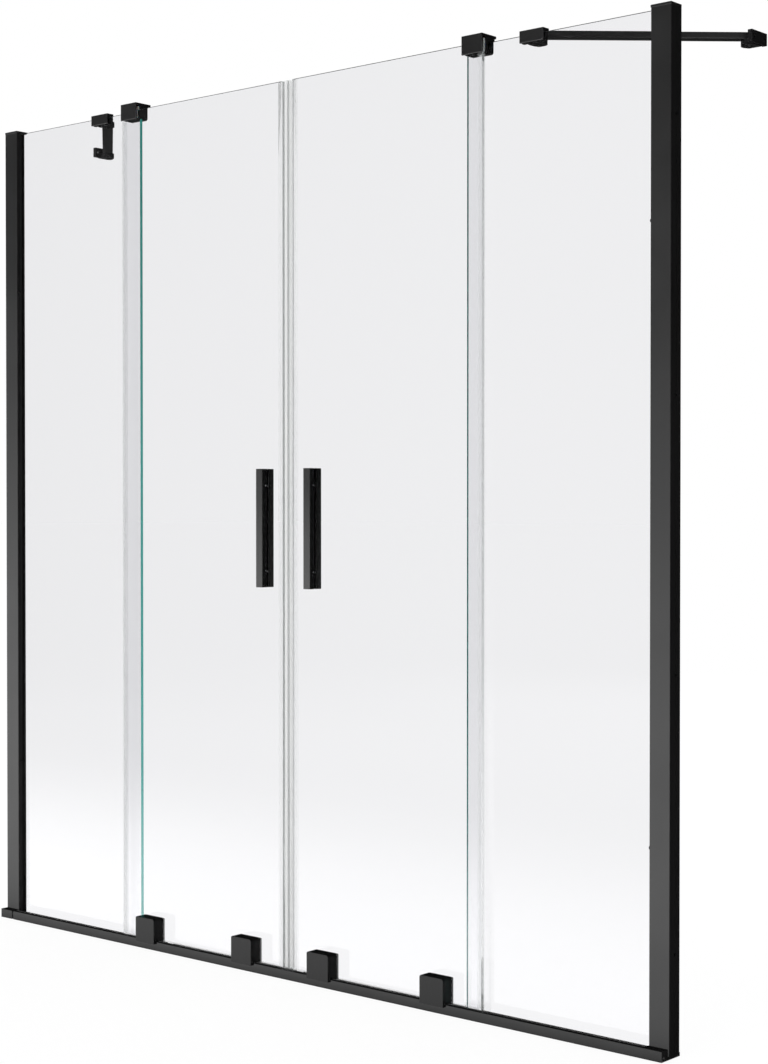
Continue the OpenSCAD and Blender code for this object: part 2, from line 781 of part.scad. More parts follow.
// Flat bar from the glass clamp to the wall bracket
module stay_bar(side) {
    x = stay_x(side);
    dx = far_x - x;
    dy = stay_depth - pivot_y;
    length = norm([dx, dy]);
    color([0.1, 0.1, 0.11]) placed(side) translate([x, pivot_y, 0]) rotate([0, 0, atan2(dy, dx)]) difference() {
        intersection() {
            along_z(bar_low, bar_top) {
                rect(bar_setback, length, -bar_w / 2, bar_w / 2);
                for (end = [bar_setback, length]) translate([end, 0]) circle(bar_w / 2);
            }
            along_x(-bar_w, length + bar_w) round_rect(-bar_w / 2, bar_w / 2, bar_low, bar_top, clamp_r);
        }
        for (end = [0, length]) rod_z(end, 0, bar_low - cut, bar_top - pivot_cover + run_gap, pivot_r + fit);
    }
}

// Wall bracket: a plate with two screw holes, and a lug under the bar's far end
module wall_bracket(side) {
    color([0.07, 0.07, 0.08]) placed(side) difference() {
        union() {
            soft_block(plate_x, wall_x, stay_depth - clamp_w / 2, stay_depth + clamp_w / 2,
                       plate_low, plate_low + clamp_h, clamp_r / 2);
            rod_z(far_x, stay_depth, lug_low, lug_top, lug_r);
            box(far_x, wall_x - plate_t / 2, stay_depth - lug_r, stay_depth + lug_r, lug_low, lug_top);
        }
        rod_z(far_x, stay_depth, lug_low - cut, lug_top + cut, pivot_r + fit);
        for (dy = [-plate_hole_dy, plate_hole_dy]) {
            rod_x(plate_x - cut, wall_x + cut, stay_depth + dy, plate_hole_z, plate_hole_r);
            translate([plate_x, stay_depth + dy, plate_hole_z]) rotate([0, 90, 0])
                cylinder(r1 = plate_hole_r + sink_d, r2 = plate_hole_r, h = sink_d);
        }
    }
}

module bracket_pivot(side) {
    color([0.2, 0.2, 0.21]) placed(side) pivot_screw(far_x, stay_depth);
}

// Pads between the glass and the guides and stay clamps
module clamp_pads() {
    color([0.03, 0.03, 0.03]) for (side = [-1, 1], y = [fixed_y - pad_t, fixed_back]) placed(side) {
        x = stay_x(side);
        box(x - clamp_w / 2 + pad_inset, x + clamp_w / 2 - pad_inset, y, y + pad_t, clamp_low + pad_inset, fixed_top);
        box(free_x + pad_inset, guide_x + guide_w - pad_inset, y, y + pad_t, guide_low + pad_inset, fixed_top);
    }
}

// Grub screws that press the pads, and the screws of the guide lids
module clamp_screws() {
    color([0.25, 0.25, 0.26]) for (side = [-1, 1]) placed(side) {
        for (x = guide_screw_xs) {
            grub_y_screw(x, guide_back, guide_grub_z);
            rod_z(x, lid_screw_y, guide_top - lid_t - lid_screw_l + cut, guide_top - lid_screw_head_t, lid_screw_r);
            rod_z(x, lid_screw_y, guide_top - lid_screw_head_t, guide_top, lid_screw_head_r);
        }
        for (dx = [-clamp_grub_dx, clamp_grub_dx]) grub_y_screw(stay_x(side) + dx, clamp_back, clamp_grub_z);
    }
}

// Grub screw that runs forward from just inside a back face to the pad
module grub_y_screw(x, back, z) {
    difference() {
        rod_y(x, fixed_back + pad_t, back - clamp_grub_in, z, clamp_grub_r);
        translate([x, back - clamp_grub_in + cut, z]) rotate([90, 0, 0])
            cylinder(r = hex_r, h = hex_d + cut, $fn = 6);
    }
}

// Sliding pane with its handle and roller holes
module door_glass(side) {
    color([0.75, 0.87, 0.85, 0.35]) placed(side) difference() {
        pane(door_gap, door_x, door_y, door_lift, door_top);
        for (z = stud_heights) rod_y(handle_x, door_y - cut, door_back + cut, z, stud_hole_r);
        for (x = bolt_xs) rod_y(x, door_y - cut, door_back + cut, bolt_z, bolt_hole_r);
    }
}

// Clear magnetic seal on the edge where the doors meet, with its magnet strip
module meeting_seal(side) {
    magnet_x = meet_gap + seal_t + magnet_d;
    color([0.9, 0.93, 0.93, 0.5]) placed(side) along_z(door_lift, door_top) {
        difference() {
            rect(meet_gap, door_gap + meet_grip, seal_front, seal_back);
            rect(meet_gap + seal_t, magnet_x, door_y, door_back);
            rect(magnet_x + seal_t, door_gap - seal_t, door_y, door_back);
            rect(door_gap, door_gap + meet_grip + cut, door_y, door_back);
        }
        rect(meet_gap + seal_t + magnet_gap, magnet_x - magnet_gap, door_y + magnet_gap, door_back - magnet_gap);
    }
}

// Clear seal on the outer edge, with a fin that wipes the fixed pane
module fin_seal(side) {
    fin_x = door_x + seal_t;
    tip_y = fixed_y - run_gap;
    color([0.9, 0.93, 0.93, 0.5]) placed(side) along_z(glazing_front_h + fin_clear, guide_low - fin_drop) {
        difference() {
            rect(door_x - fin_grip, fin_x, seal_front, seal_back);
            rect(door_x - fin_grip - cut, door_x, door_y, door_back);
        }
        polygon([
            [fin_x - seal_t, seal_back - seal_t], [fin_x, seal_back - seal_t],
            [fin_x, seal_back], [fin_x - fin_lean, tip_y],
            [fin_x - fin_lean - seal_t / 2, tip_y], [fin_x - seal_t, seal_back]
        ]);
    }
}

// Clear seal under the sliding pane, with a blade that reaches down into the gutter. Its wings
// on the glass are cut away at the rollers.
module sweep_seal(side) {
    grip_low = door_lift - seal_t;
    blade_y = (door_y + door_back) / 2;
    color([0.9, 0.93, 0.93, 0.5]) placed(side) difference() {
        along_x(door_gap + meet_grip + run_gap, door_x - fin_grip - run_gap) {
            difference() {
                rect(seal_front, seal_back, grip_low, door_lift + sweep_grip);
                rect(door_y, door_back, door_lift, door_lift + sweep_grip + cut);
            }
            rect(blade_y - seal_t / 2, blade_y + seal_t / 2, rail_t + blade_clear, grip_low + seal_t / 2);
        }
        for (x = roller_xs)
            box(x - plate_half - run_gap, x + plate_half + run_gap, seal_front - cut, seal_back + cut,
                door_lift, door_lift + sweep_grip + cut);
    }
}

// Handle bar on the room side, which slides over the studs. Both have their grub screws on
// the side that faces the right-hand wall.
module handle_front(side) {
    color([0.08, 0.08, 0.09]) placed(side) difference() {
        soft_block(handle_x - handle_w / 2, handle_x + handle_w / 2, bar_front_back - bar_front_d, bar_front_back,
                   handle_z - handle_l / 2, handle_z + handle_l / 2, handle_r);
        for (z = stud_heights) {
            rod_y(handle_x, bar_front_back - stud_in, bar_front_back + cut, z, stud_r + fit);
            translate([handle_x, grub_y, z]) rotate([0, side * 90, 0]) cylinder(r = grub_r + fit, h = handle_w);
        }
    }
}

// Handle bar on the shower side, which the studs are screwed into
module handle_back(side) {
    color([0.08, 0.08, 0.09]) placed(side) difference() {
        soft_block(handle_x - handle_w / 2, handle_x + handle_w / 2, bar_back_front, bar_back_front + bar_back_d,
                   handle_z - handle_l / 2, handle_z + handle_l / 2, handle_r);
        for (z = stud_heights) rod_y(handle_x, bar_back_front - cut, bar_back_front + stud_in, z, stud_r + fit);
    }
}

// Studs with their bushes in the glass, the gaskets of both bars and the grub screws
module handle_fixings(side) {
    color([0.5, 0.5, 0.51]) placed(side) {
        for (z = stud_heights) {
            rod_y(handle_x, bar_front_back - stud_in + fit, bar_back_front + stud_in - fit, z, stud_r);
            difference() {
                rod_y(handle_x, door_y, door_back, z, stud_bush_r);
                rod_y(handle_x, door_y - cut, door_back + cut, z, stud_r + fit);
            }
            translate([handle_x, grub_y, z]) rotate([0, side * 90, 0]) difference() {
                translate([0, 0, stud_r + fit]) cylinder(r = grub_r, h = handle_w / 2 - stud_r - fit - grub_in);
                translate([0, 0, handle_w / 2 - grub_in - hex_d]) cylinder(r = hex_r, h = hex_d + cut, $fn = 6);
            }
        }
        for (y = [bar_front_back, door_back]) difference() {
            box(handle_x - handle_w / 2 + pad_inset, handle_x + handle_w / 2 - pad_inset, y, y + handle_pad,
                handle_z - handle_l / 2 + pad_inset, handle_z + handle_l / 2 - pad_inset);
            for (z = stud_heights) rod_y(handle_x, y - cut, y + cut, z, stud_bush_r);
        }
    }
}

// Roller covers: shells open at the back and below, whose skirt hangs in front of the lip
module roller_covers(side) {
    color([0.09, 0.09, 0.1]) placed(side) for (x = roller_xs) difference() {
        intersection() {
            along_y(-cover_proud, carriage_back)
                top_round_rect(x - cover_w / 2, x + cover_w / 2, cover_low, cover_top, cover_r);
            along_x(x - cover_w, x + cover_w)
                top_round_rect(-cover_proud, carriage_back, cover_low, cover_top, cover_edge_r);
            along_z(cover_low, cover_top)
                round_rect(x - cover_w / 2, x + cover_w / 2, -cover_proud, carriage_back, cover_edge_r);
        }
        along_y(cover_t - cover_proud, carriage_back + cut)
            top_round_rect(x - cover_w / 2 + cover_t, x + cover_w / 2 - cover_t, cover_low - cut,
                           cover_top - cover_t, plate_r);
        box(x - cover_w, x + cover_w, -lip_clear, carriage_back + cut, cover_low - cut, lip_h + lip_clear);
    }
}

// Plate or pad of a roller, which all have one outline and the same two bolt holes
module roller_layer(x, y0, y1, low = back_plate_low) {
    difference() {
        along_y(y0, y1) top_round_rect(x - plate_half, x + plate_half, low, plate_top, plate_r);
        for (dx = [-bolt_dx, bolt_dx]) rod_y(x + dx, y0 - cut, y1 + cut, bolt_z, bolt_r + fit);
    }
}

// Roller carriages: a plate with the stub axle in front of the glass, and a back plate behind it
module roller_carriages(side) {
    color([0.15, 0.15, 0.16]) placed(side) for (x = roller_xs) {
        roller_layer(x, carriage_front, carriage_back, carriage_low);
        rod_y(x, wheel_y + wheel_w + run_gap, carriage_back, axle_z, axle_boss_r);
        rod_y(x, wheel_y - run_gap, carriage_back, axle_z, axle_r);
        rod_y(x, wheel_y - run_gap - axle_head_t, wheel_y - run_gap, axle_z, axle_head_r);
        roller_layer(x, back_plate_y, back_plate_back);
    }
}

// Rubber pads between the plates and the glass, with a bush in each bolt hole
module roller_pads(side) {
    color([0.03, 0.03, 0.03]) placed(side) for (x = roller_xs) {
        roller_layer(x, carriage_back, door_y);
        roller_layer(x, door_back, back_plate_y);
        for (dx = [-bolt_dx, bolt_dx]) difference() {
            rod_y(x + dx, carriage_back + roller_pad / 2, door_back - bush_end, bolt_z, bush_r);
            rod_y(x + dx, carriage_back, door_back + cut, bolt_z, bolt_r + fit);
        }
    }
}

// Bolts from the back plate through the glass into the carriage
module roller_bolts(side) {
    color([0.1, 0.1, 0.11]) placed(side) for (x = bolt_xs) {
        rod_y(x, carriage_front - bolt_end, back_plate_back + fit, bolt_z, bolt_r);
        rod_y(x, back_plate_back + fit, back_plate_back + fit + bolt_head_t, bolt_z, bolt_head_r);
    }
}

// Nylon wheel with a recess in each face, turning on the stub axle
module wheel(side, x) {
    bore_r = axle_r + fit;
    color([0.82, 0.82, 0.8]) placed(side) translate([x, wheel_y + wheel_w, axle_z]) rotate([90, 0, 0])
        rotate_extrude() difference() {
            polygon([
                [bore_r, 0], [wheel_r - wheel_edge, 0], [wheel_r, wheel_edge],
                [wheel_r, wheel_w - wheel_edge], [wheel_r - wheel_edge, wheel_w], [bore_r, wheel_w]
            ]);
            rect(bore_r + wheel_hub_t, wheel_r - wheel_rim_t, -cut, wheel_recess);
            rect(bore_r + wheel_hub_t, wheel_r - wheel_rim_t, wheel_w - wheel_recess, wheel_w + cut);
        }
}

wall_channel(-1);  // wall_channel_l
wall_channel(1);  // wall_channel_r
glass_channel(-1);  // glass_channel_l
glass_channel(1);  // glass_channel_r
profile_cap(-1);  // profile_cap_l
profile_cap(1);  // profile_cap_r
channel_gaskets(-1);  // channel_gaskets_l
channel_gaskets(1);  // channel_gaskets_r
fixed_glass(-1);  // fixed_glass_l
fixed_glass(1);  // fixed_glass_r
bottom_rail();
rail_cap(-1);  // rail_cap_l
rail_cap(1);  // rail_cap_r
frame_screws();
glazing_strips();
setting_blocks();
door_buffers();
guide_body(-1);  // guide_body_l
guide_body(1);  // guide_body_r
guide_hood(-1);  // guide_hood_l
guide_hood(1);  // guide_hood_r
guide_glides();
stay_clamp(-1);  // stay_clamp_l
stay_clamp(1);  // stay_clamp_r
stay_pivots();
clamp_pads();
clamp_screws();
stay_bar(-1);  // stay_bar_l
stay_bar(1);  // stay_bar_r
wall_bracket(-1);  // wall_bracket_l
wall_bracket(1);  // wall_bracket_r
bracket_pivot(-1);  // bracket_pivot_l
bracket_pivot(1);  // bracket_pivot_r
door_glass(-1);  // door_glass_l
door_glass(1);  // door_glass_r
meeting_seal(-1);  // meeting_seal_l
meeting_seal(1);  // meeting_seal_r
fin_seal(-1);  // fin_seal_l
fin_seal(1);  // fin_seal_r
sweep_seal(-1);  // sweep_seal_l
sweep_seal(1);  // sweep_seal_r
handle_front(-1);  // handle_front_l
handle_front(1);  // handle_front_r
handle_back(-1);  // handle_back_l
handle_back(1);  // handle_back_r
handle_fixings(-1);  // handle_fixings_l
handle_fixings(1);  // handle_fixings_r
roller_covers(-1);  // roller_covers_l
roller_covers(1);  // roller_covers_r
roller_carriages(-1);  // roller_carriages_l
roller_carriages(1);  // roller_carriages_r
roller_pads(-1);  // roller_pads_l
roller_pads(1);  // roller_pads_r
roller_bolts(-1);  // roller_bolts_l
roller_bolts(1);  // roller_bolts_r
wheel(-1, roller_near);  // wheel_near_l
wheel(1, roller_near);  // wheel_near_r
wheel(-1, roller_far);  // wheel_far_l
wheel(1, roller_far);  // wheel_far_r
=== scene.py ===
"""Dresses the sliding shower screen: powder coat, glass, seals, nylon, rubber and screws.

The packed model gives every place and size. The script shapes the screw heads, rounds the
edges, gives each part its material, and lights the screen on a plain white stage.
"""
import json
import math

import bmesh
import bpy
from bpy.props import FloatProperty, FloatVectorProperty, IntProperty, PointerProperty
from mathutils import Euler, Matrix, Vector


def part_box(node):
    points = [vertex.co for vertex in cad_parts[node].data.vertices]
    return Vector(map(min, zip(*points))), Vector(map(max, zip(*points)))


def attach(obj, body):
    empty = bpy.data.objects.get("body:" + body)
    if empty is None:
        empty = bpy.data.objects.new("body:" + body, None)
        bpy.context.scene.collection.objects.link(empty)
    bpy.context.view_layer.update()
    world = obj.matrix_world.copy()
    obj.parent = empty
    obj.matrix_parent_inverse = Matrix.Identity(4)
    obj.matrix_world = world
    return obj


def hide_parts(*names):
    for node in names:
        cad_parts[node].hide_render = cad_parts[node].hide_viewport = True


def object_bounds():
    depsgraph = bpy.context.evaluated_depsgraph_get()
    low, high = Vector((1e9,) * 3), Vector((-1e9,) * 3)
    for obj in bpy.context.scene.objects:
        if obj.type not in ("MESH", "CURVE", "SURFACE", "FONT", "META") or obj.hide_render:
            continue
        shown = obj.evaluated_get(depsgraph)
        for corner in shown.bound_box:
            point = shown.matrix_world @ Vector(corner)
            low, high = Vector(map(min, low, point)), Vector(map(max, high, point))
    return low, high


bl_info = {
    "name": "Sliding shower screen",
    "version": (1, 0, 0),
    "blender": (4, 5, 0),
    "location": "View3D > Sidebar > Shower",
    "description": "Finishes, fasteners and stage of a sliding shower screen",
    "category": "Object",
}

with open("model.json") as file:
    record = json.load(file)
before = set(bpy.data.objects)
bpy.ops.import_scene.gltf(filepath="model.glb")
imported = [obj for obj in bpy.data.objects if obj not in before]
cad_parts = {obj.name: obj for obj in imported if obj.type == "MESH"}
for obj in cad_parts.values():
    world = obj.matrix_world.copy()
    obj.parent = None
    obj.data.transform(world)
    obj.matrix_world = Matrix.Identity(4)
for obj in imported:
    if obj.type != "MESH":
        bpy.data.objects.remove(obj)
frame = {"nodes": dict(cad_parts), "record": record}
CAD_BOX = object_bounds()
NODES = frame["nodes"]
NODE_BODY = {
    node: body
    for body, members in frame["record"]["behaviour"]["bodies"].items()
    for node in members
}
SLOT_OF = {part["node"]: part["material_slot"] for part in frame["record"]["subparts"]}
SIDES = ("l", "r")
SCREEN_TOP = CAD_BOX[1].z
HALF_PI = math.pi / 2
Y_AXIS = 1
HEXAGON = 6
HEAD_TREE = "Fastener heads"

# Edges that turn by more than SHARP are rounded and shaded sharp, and faces that turn by less
# than FLAT become one face. Points nearer than SAME_POINT, in metres, become one point. A face
# looks along an axis when its normal has more than SQUARELY of its length on that axis.
SHARP = math.radians(32.0)
FLAT = math.radians(0.4)
SAME_POINT = 1e-6
EDGE_SEGMENTS = 2
SQUARELY = 0.9

# Light of the stage. AMBIENT is the room's light on the screen, and FLOOR_LIT the grey of the
# floor that throws it back. The camera sees a floor of FLOOR_MATT with a glow of FLOOR_GLOW.
AMBIENT = 0.8
FLOOR_LIT = 0.85
FLOOR_MATT = 0.1
FLOOR_GLOW = 0.92
LIGHT_AIM = (0.0, 0.0, 0.8)
LIGHT_SIZE = 2.5
KEY_PLACE = (1.0, -5.0, 1.5)
BACK_PLACE = (-1.0, 5.0, 2.5)

# Brightness of the stage in reflections, as stops along a direction or a distance in metres, in
# parts of GLOW_SCALE. The room is lit in front of the screen and dark behind it, and the sheen
# of satin surfaces and the mirror image in the glass each have a list.
GLOW_SCALE = 2.5
ROOM_DEPTH = ((-1.0, 0.4), (-0.35, 0.4), (0.2, 0.016), (1.0, 0.016))
ROOM_SATIN = ((-0.4, 0.08), (0.0, 0.08), (0.12, 0.03), (1.0, 0.03))
ROOM_MIRROR = ((-0.4, 0.035), (0.0, 0.035), (0.18, 0.03), (1.0, 0.03))
FLOOR_SATIN = (
    (-1.5, 1.0), (-1.2, 1.0), (-0.35, 0.7), (-0.08, 0.58), (-0.045, 0.4), (-0.02, 0.25),
    (-0.01, 0.016), (0.1, 0.016),
)
FLOOR_MIRROR = (
    (-4.0, 0.03), (-3.2, 0.035), (-2.4, 0.07), (-1.8, 0.09), (-1.5, 0.14), (-1.2, 0.25),
    (-1.0, 0.36), (-0.77, 0.5), (-0.5, 0.64), (-0.25, 0.71), (-0.03, 0.71), (0.02, 0.016),
    (0.1, 0.016),
)
# The panes leave these out of their mirror images: the photo shows none of them in the doors.
UNMIRRORED = (
    "bottom_rail", "rail_cap", "roller_covers", "roller_carriages", "wheel_near", "wheel_far",
)


def colour(name, description, default):
    """A colour that the user can change, written as linear red, green and blue."""
    return FloatVectorProperty(
        name=name, description=description, default=default,
        size=3, min=0.0, max=1.0, subtype="COLOR",
    )


def length(name, description, default):
    """A length that the user can change, in metres."""
    return FloatProperty(
        name=name, description=description, default=default,
        min=0.0, unit="LENGTH", subtype="DISTANCE",
    )


def coordinate(name, description, default):
    """A coordinate that the user can change, in metres."""
    return FloatProperty(name=name, description=description, default=default, unit="LENGTH")


def angle(name, description, default):
    """An angle that the user can change, in radians."""
    return FloatProperty(name=name, description=description, default=default, subtype="ANGLE")


def fraction(name, description, default):
    """A fraction that the user can change, from 0 to 1."""
    return FloatProperty(name=name, description=description, default=default, min=0.0, max=1.0)


def power(name, description, default):
    """The power of a lamp that the user can change, in watts."""
    return FloatProperty(
        name=name, description=description, default=default, min=0.0, unit="POWER"
    )


class ShowerFinishes(bpy.types.PropertyGroup):
    """Colours and gloss of the screen's finishes."""

    coat: colour("Powder coat", "Black of the rail, profiles and fittings", (0.006, 0.006, 0.0062))
    inner_coat: colour("Inner coat", "Black of the channel on the wall", (0.005, 0.005, 0.0052))
    moulding: colour("Moulding", "Black of the moulded caps and covers", (0.006, 0.006, 0.0062))
    rubber: colour("Rubber", "Black of the gaskets, pads and buffers", (0.008, 0.008, 0.008))
    glass: colour("Glass", "Tint of the panes seen face on", (0.926, 0.927, 0.941))
    # Painted light: the bare glass edges are bright teal near the rail and darker teal towards the
    # top, blended by height to stand in for how the light falls on them.
    edge_low: colour("Edge, low", "Glass edges near the rail", (0.22, 1.0, 0.9))
    edge_high: colour("Edge, high", "Glass edges near the top", (0.03, 0.4, 0.33))
    sealed_edge: colour("Sealed edge", "Glass edges under a seal", (0.86, 0.92, 0.91))
    meeting_edge: colour("Meeting edge", "Glass edges where the doors meet", (0.94, 0.97, 0.965))
    top_edge: colour("Top edge", "Top and bottom edges of the glass", (0.025, 0.035, 0.035))
    seal: colour("Seal", "Tint of the clear seals", (0.93, 0.955, 0.955))
    magnet: colour("Magnet", "Colour of the magnet strips in the meeting seals", (0.95, 0.97, 0.97))
    nylon: colour("Nylon", "Off-white of the wheels and glides", (0.72, 0.72, 0.69))
    steel: colour("Steel", "Stainless steel of the screws", (0.46, 0.46, 0.47))
    coat_gloss: fraction("Coat roughness", "Roughness of the powder coat", 0.36)
    smooth_gloss: fraction("Smooth roughness", "Roughness of the handles and covers", 0.2)
    edge_zone: length("Edge zone", "How near the rim of a pane a ground face lies", 0.001)
    extrusion_edge: length("Extrusion edge", "Edge radius of the extrusions and plates", 0.0003)
    moulded_edge: length("Moulded edge", "Edge radius of the mouldings", 0.0004)
    metal_edge: length("Metal edge", "Edge radius of the metal fittings", 0.0004)


class ShowerFasteners(bpy.types.PropertyGroup):
    """Sizes of the screws and their heads."""

    sides: IntProperty(
        name="Sides", description="Sides of the round heads", default=40, min=12, max=96
    )
    chamfer: length("Chamfer", "Chamfer round the heads", 0.0004)
    socket: length("Socket", "Radius of the hexagon sockets", 0.0013)
    socket_depth: length("Socket depth", "Depth of the sockets", 0.0012)
    pan_radius: length("Pan head", "Radius of the joining screws' heads", 0.0034)
    pan_height: length("Pan head height", "Height of the joining screws' heads", 0.0018)
    pan_shank: length("Joining shank", "Radius of the joining screws", 0.00175)
    pan_shank_length: length("Joining length", "Length of the joining screws", 0.0065)
    cap_head_radius: length("Cap screw head", "Radius of the heads in the end caps", 0.0027)
    cap_head_height: length("Cap screw head height", "Height of the heads in the end caps", 0.002)
    cap_shank: length("Cap screw shank", "Radius of the end cap screws", 0.0015)
    cap_shank_length: length("Cap screw length", "Length of the end cap screws", 0.022)
    lid_height: length("Lid head height", "Height of the heads in the guide lids", 0.0017)
    pivot_height: length("Pivot head height", "Height of the pivot screws' heads", 0.0022)
    pivot_shank: length("Pivot shank", "Radius of the pivot screws", 0.003)
    pivot_socket: length("Large socket", "Radius of the sockets of pivots and bolts", 0.0023)
    bolt_height: length("Bolt head height", "Height of the roller bolts' heads", 0.0016)
    bolt_shank: length("Bolt shank", "Radius of the roller bolts", 0.0025)
    gasket: length("Gasket", "Greatest thickness of the gaskets under the handle bars", 0.0015)
    tiny: length("Stub", "Length of the stub behind a grub screw", 0.0001)


class ShowerStage(bpy.types.PropertyGroup):
    """Camera, floor and light."""

    floor_half: length("Floor", "Half the width of the floor", 60.0)
    camera_x: coordinate("Camera X", "Place of the camera across the screen", 2.24746)
    camera_y: coordinate("Camera Y", "Place of the camera in front of the screen", -2.35997)
    camera_z: coordinate("Camera Z", "Height of the camera", 0.79511)
    camera_turn: angle("Turn", "Turn of the camera about the upright", 0.713316)
    camera_dip: angle("Dip", "How far the camera looks down", 0.014661)
    lens: FloatProperty(
        name="Lens", description="Focal length in millimetres", default=65.695, min=1.0
    )
    key_energy: power("Key light", "Power of the soft light in front", 60.0)
    back_energy: power("Back light", "Power of the soft light behind", 60.0)


def finishes():
    """The colours and edge sizes that are set now."""
    return bpy.context.scene.shower_finishes


def fasteners():
    """The screw sizes that are set now."""
    return bpy.context.scene.shower_fasteners


def put(name, data):
    """A new object in the scene."""
    item = bpy.data.objects.new(name, data)
    bpy.context.scene.collection.objects.link(item)
    return item


def plain_mesh(holder):
    """The plain mesh that an object's modifiers make. The object itself goes."""
    bpy.context.view_layer.update()
    graph = bpy.context.evaluated_depsgraph_get()
    mesh = bpy.data.meshes.new_from_object(holder.evaluated_get(graph), depsgraph=graph)
    bpy.data.objects.remove(holder)
    return mesh


def sided(*stems):
    """Node names of both sides."""
    return [f"{stem}_{side}" for stem in stems for side in SIDES]


# Node trees


def add(tree, kind, place, **settings):
    """Adds a node of a kind at a place in the editor and sets its plain properties."""
    node = tree.nodes.new(kind)
    node.location = place
    for name, value in settings.items():
        setattr(node, name, value)
    return node


def link(tree, source, output, target, entry):
    """Links a named output of one node to a named input of another."""
    tree.links.new(source.outputs[output], target.inputs[entry])


def new_material(name, **inputs):
    """A material with one Principled shader, which has these inputs set."""
    material = bpy.data.materials.new(name)
    material.use_nodes = True
    tree = material.node_tree
    tree.nodes.clear()
    output = add(tree, "ShaderNodeOutputMaterial", (400, 0))
    shader = add(tree, "ShaderNodeBsdfPrincipled", (100, 0))
    link(tree, shader, "BSDF", output, "Surface")
    for entry, value in inputs.items():
        shader.inputs[entry.replace("_", " ")].default_value = value
    return material, tree, shader


def noise(tree, scale, detail, place, stretch=(1.0, 1.0, 1.0)):
    """Noise on the piece's own coordinates, with its features drawn out by stretch."""
    coordinates = add(tree, "ShaderNodeTexCoord", (place[0] - 400, place[1]))
    mapping = add(tree, "ShaderNodeMapping", (place[0] - 200, place[1]))
    mapping.inputs["Scale"].default_value = stretch
    texture = add(tree, "ShaderNodeTexNoise", place)
    texture.inputs["Scale"].default_value = scale
    texture.inputs["Detail"].default_value = detail
    link(tree, coordinates, "Object", mapping, "Vector")
    link(tree, mapping, "Vector", texture, "Vector")
    return texture


def spread(tree, source, output, low, high, place, from_low=0.3, from_high=0.7):
    """Maps a value onto a range."""
    node = add(tree, "ShaderNodeMapRange", place)
    node.inputs["From Min"].default_value = from_low
    node.inputs["From Max"].default_value = from_high
    node.inputs["To Min"].default_value = low
    node.inputs["To Max"].default_value = high
    link(tree, source, output, node, "Value")
    return node


def tone(tree, source, output, dark, light, place):
    """Blends two colours by a value."""
    node = add(tree, "ShaderNodeMix", place, data_type="RGBA")
    node.inputs["A"].default_value = (*dark, 1.0)
    node.inputs["B"].default_value = (*light, 1.0)
    link(tree, source, output, node, "Factor")
    return node


def relief(tree, shader, source, output, strength, distance, place):
    """Small relief on the surface."""
    bump = add(tree, "ShaderNodeBump", place)
    bump.inputs["Strength"].default_value = strength
    bump.inputs["Distance"].default_value = distance
    link(tree, source, output, bump, "Height")
    link(tree, bump, "Normal", shader, "Normal")


def paint(tree, shader, base, gloss):
    """Gives a shader its colour and its roughness."""
    link(tree, base, "Result", shader, "Base Color")
    link(tree, gloss, "Result", shader, "Roughness")


def scaled(rgb, factor):
    """A colour made darker or lighter by a factor."""
    return tuple(min(1.0, value * factor) for value in rgb)


def black_finish(name, rgb, roughness, peel_scale, specular=0.6):
    """Satin black: an orange peel of a millimetre or so and slow changes of gloss and tone."""
    material, tree, shader = new_material(name, Specular_IOR_Level=specular)
    cloud = noise(tree, 9.0, 3.0, (-500, 200))
    peel = noise(tree, peel_scale, 2.0, (-500, -300))
    base = tone(tree, cloud, "Fac", scaled(rgb, 0.85), scaled(rgb, 1.2), (-150, 200))
    gloss = spread(tree, cloud, "Fac", roughness - 0.03, roughness + 0.04, (-150, -50))
    paint(tree, shader, base, gloss)
    relief(tree, shader, peel, "Fac", 0.25, 0.00006, (-150, -300))
    return material


def rubber_finish(name, rgb):
    """Matt rubber with a fine moulded grain."""
    material, tree, shader = new_material(name, Specular_IOR_Level=0.3)
    grain = noise(tree, 1400.0, 2.0, (-500, -200))
    base = tone(tree, grain, "Fac", scaled(rgb, 0.8), scaled(rgb, 1.3), (-150, 200))
    gloss = spread(tree, grain, "Fac", 0.62, 0.78, (-150, -50))
    paint(tree, shader, base, gloss)
    relief(tree, shader, grain, "Fac", 0.3, 0.00008, (-150, -300))
    return material


def nylon_finish(name, rgb):
    """Off-white nylon, a little darker in patches where it is handled."""
    material, tree, shader = new_material(name, Subsurface_Weight=0.15, Subsurface_Scale=0.002)
    cloud = noise(tree, 60.0, 3.0, (-500, 200))
    base = tone(tree, cloud, "Fac", scaled(rgb, 0.9), rgb, (-150, 200))
    gloss = spread(tree, cloud, "Fac", 0.38, 0.5, (-150, -50))
    paint(tree, shader, base, gloss)
    return material


def steel_finish(name, rgb):
    """Stainless steel with turning marks."""
    material, tree, shader = new_material(name, Metallic=1.0)
    marks = noise(tree, 2200.0, 2.0, (-500, 0), (1.0, 6.0, 1.0))
    base = tone(tree, marks, "Fac", scaled(rgb, 0.85), scaled(rgb, 1.1), (-150, 200))
    gloss = spread(tree, marks, "Fac", 0.25, 0.4, (-150, -50))
    paint(tree, shader, base, gloss)
    return material


def glass_finish(name, rgb):
    """Toughened glass, clear and very slightly uneven in tint."""
    material, tree, shader = new_material(name, Transmission_Weight=1.0, Roughness=0.0, IOR=1.5)
    cloud = noise(tree, 1.5, 2.0, (-500, 0))
    base = tone(tree, cloud, "Fac", scaled(rgb, 0.997), scaled(rgb, 1.003), (-150, 0))
    link(tree, base, "Result", shader, "Base Color")
    return material


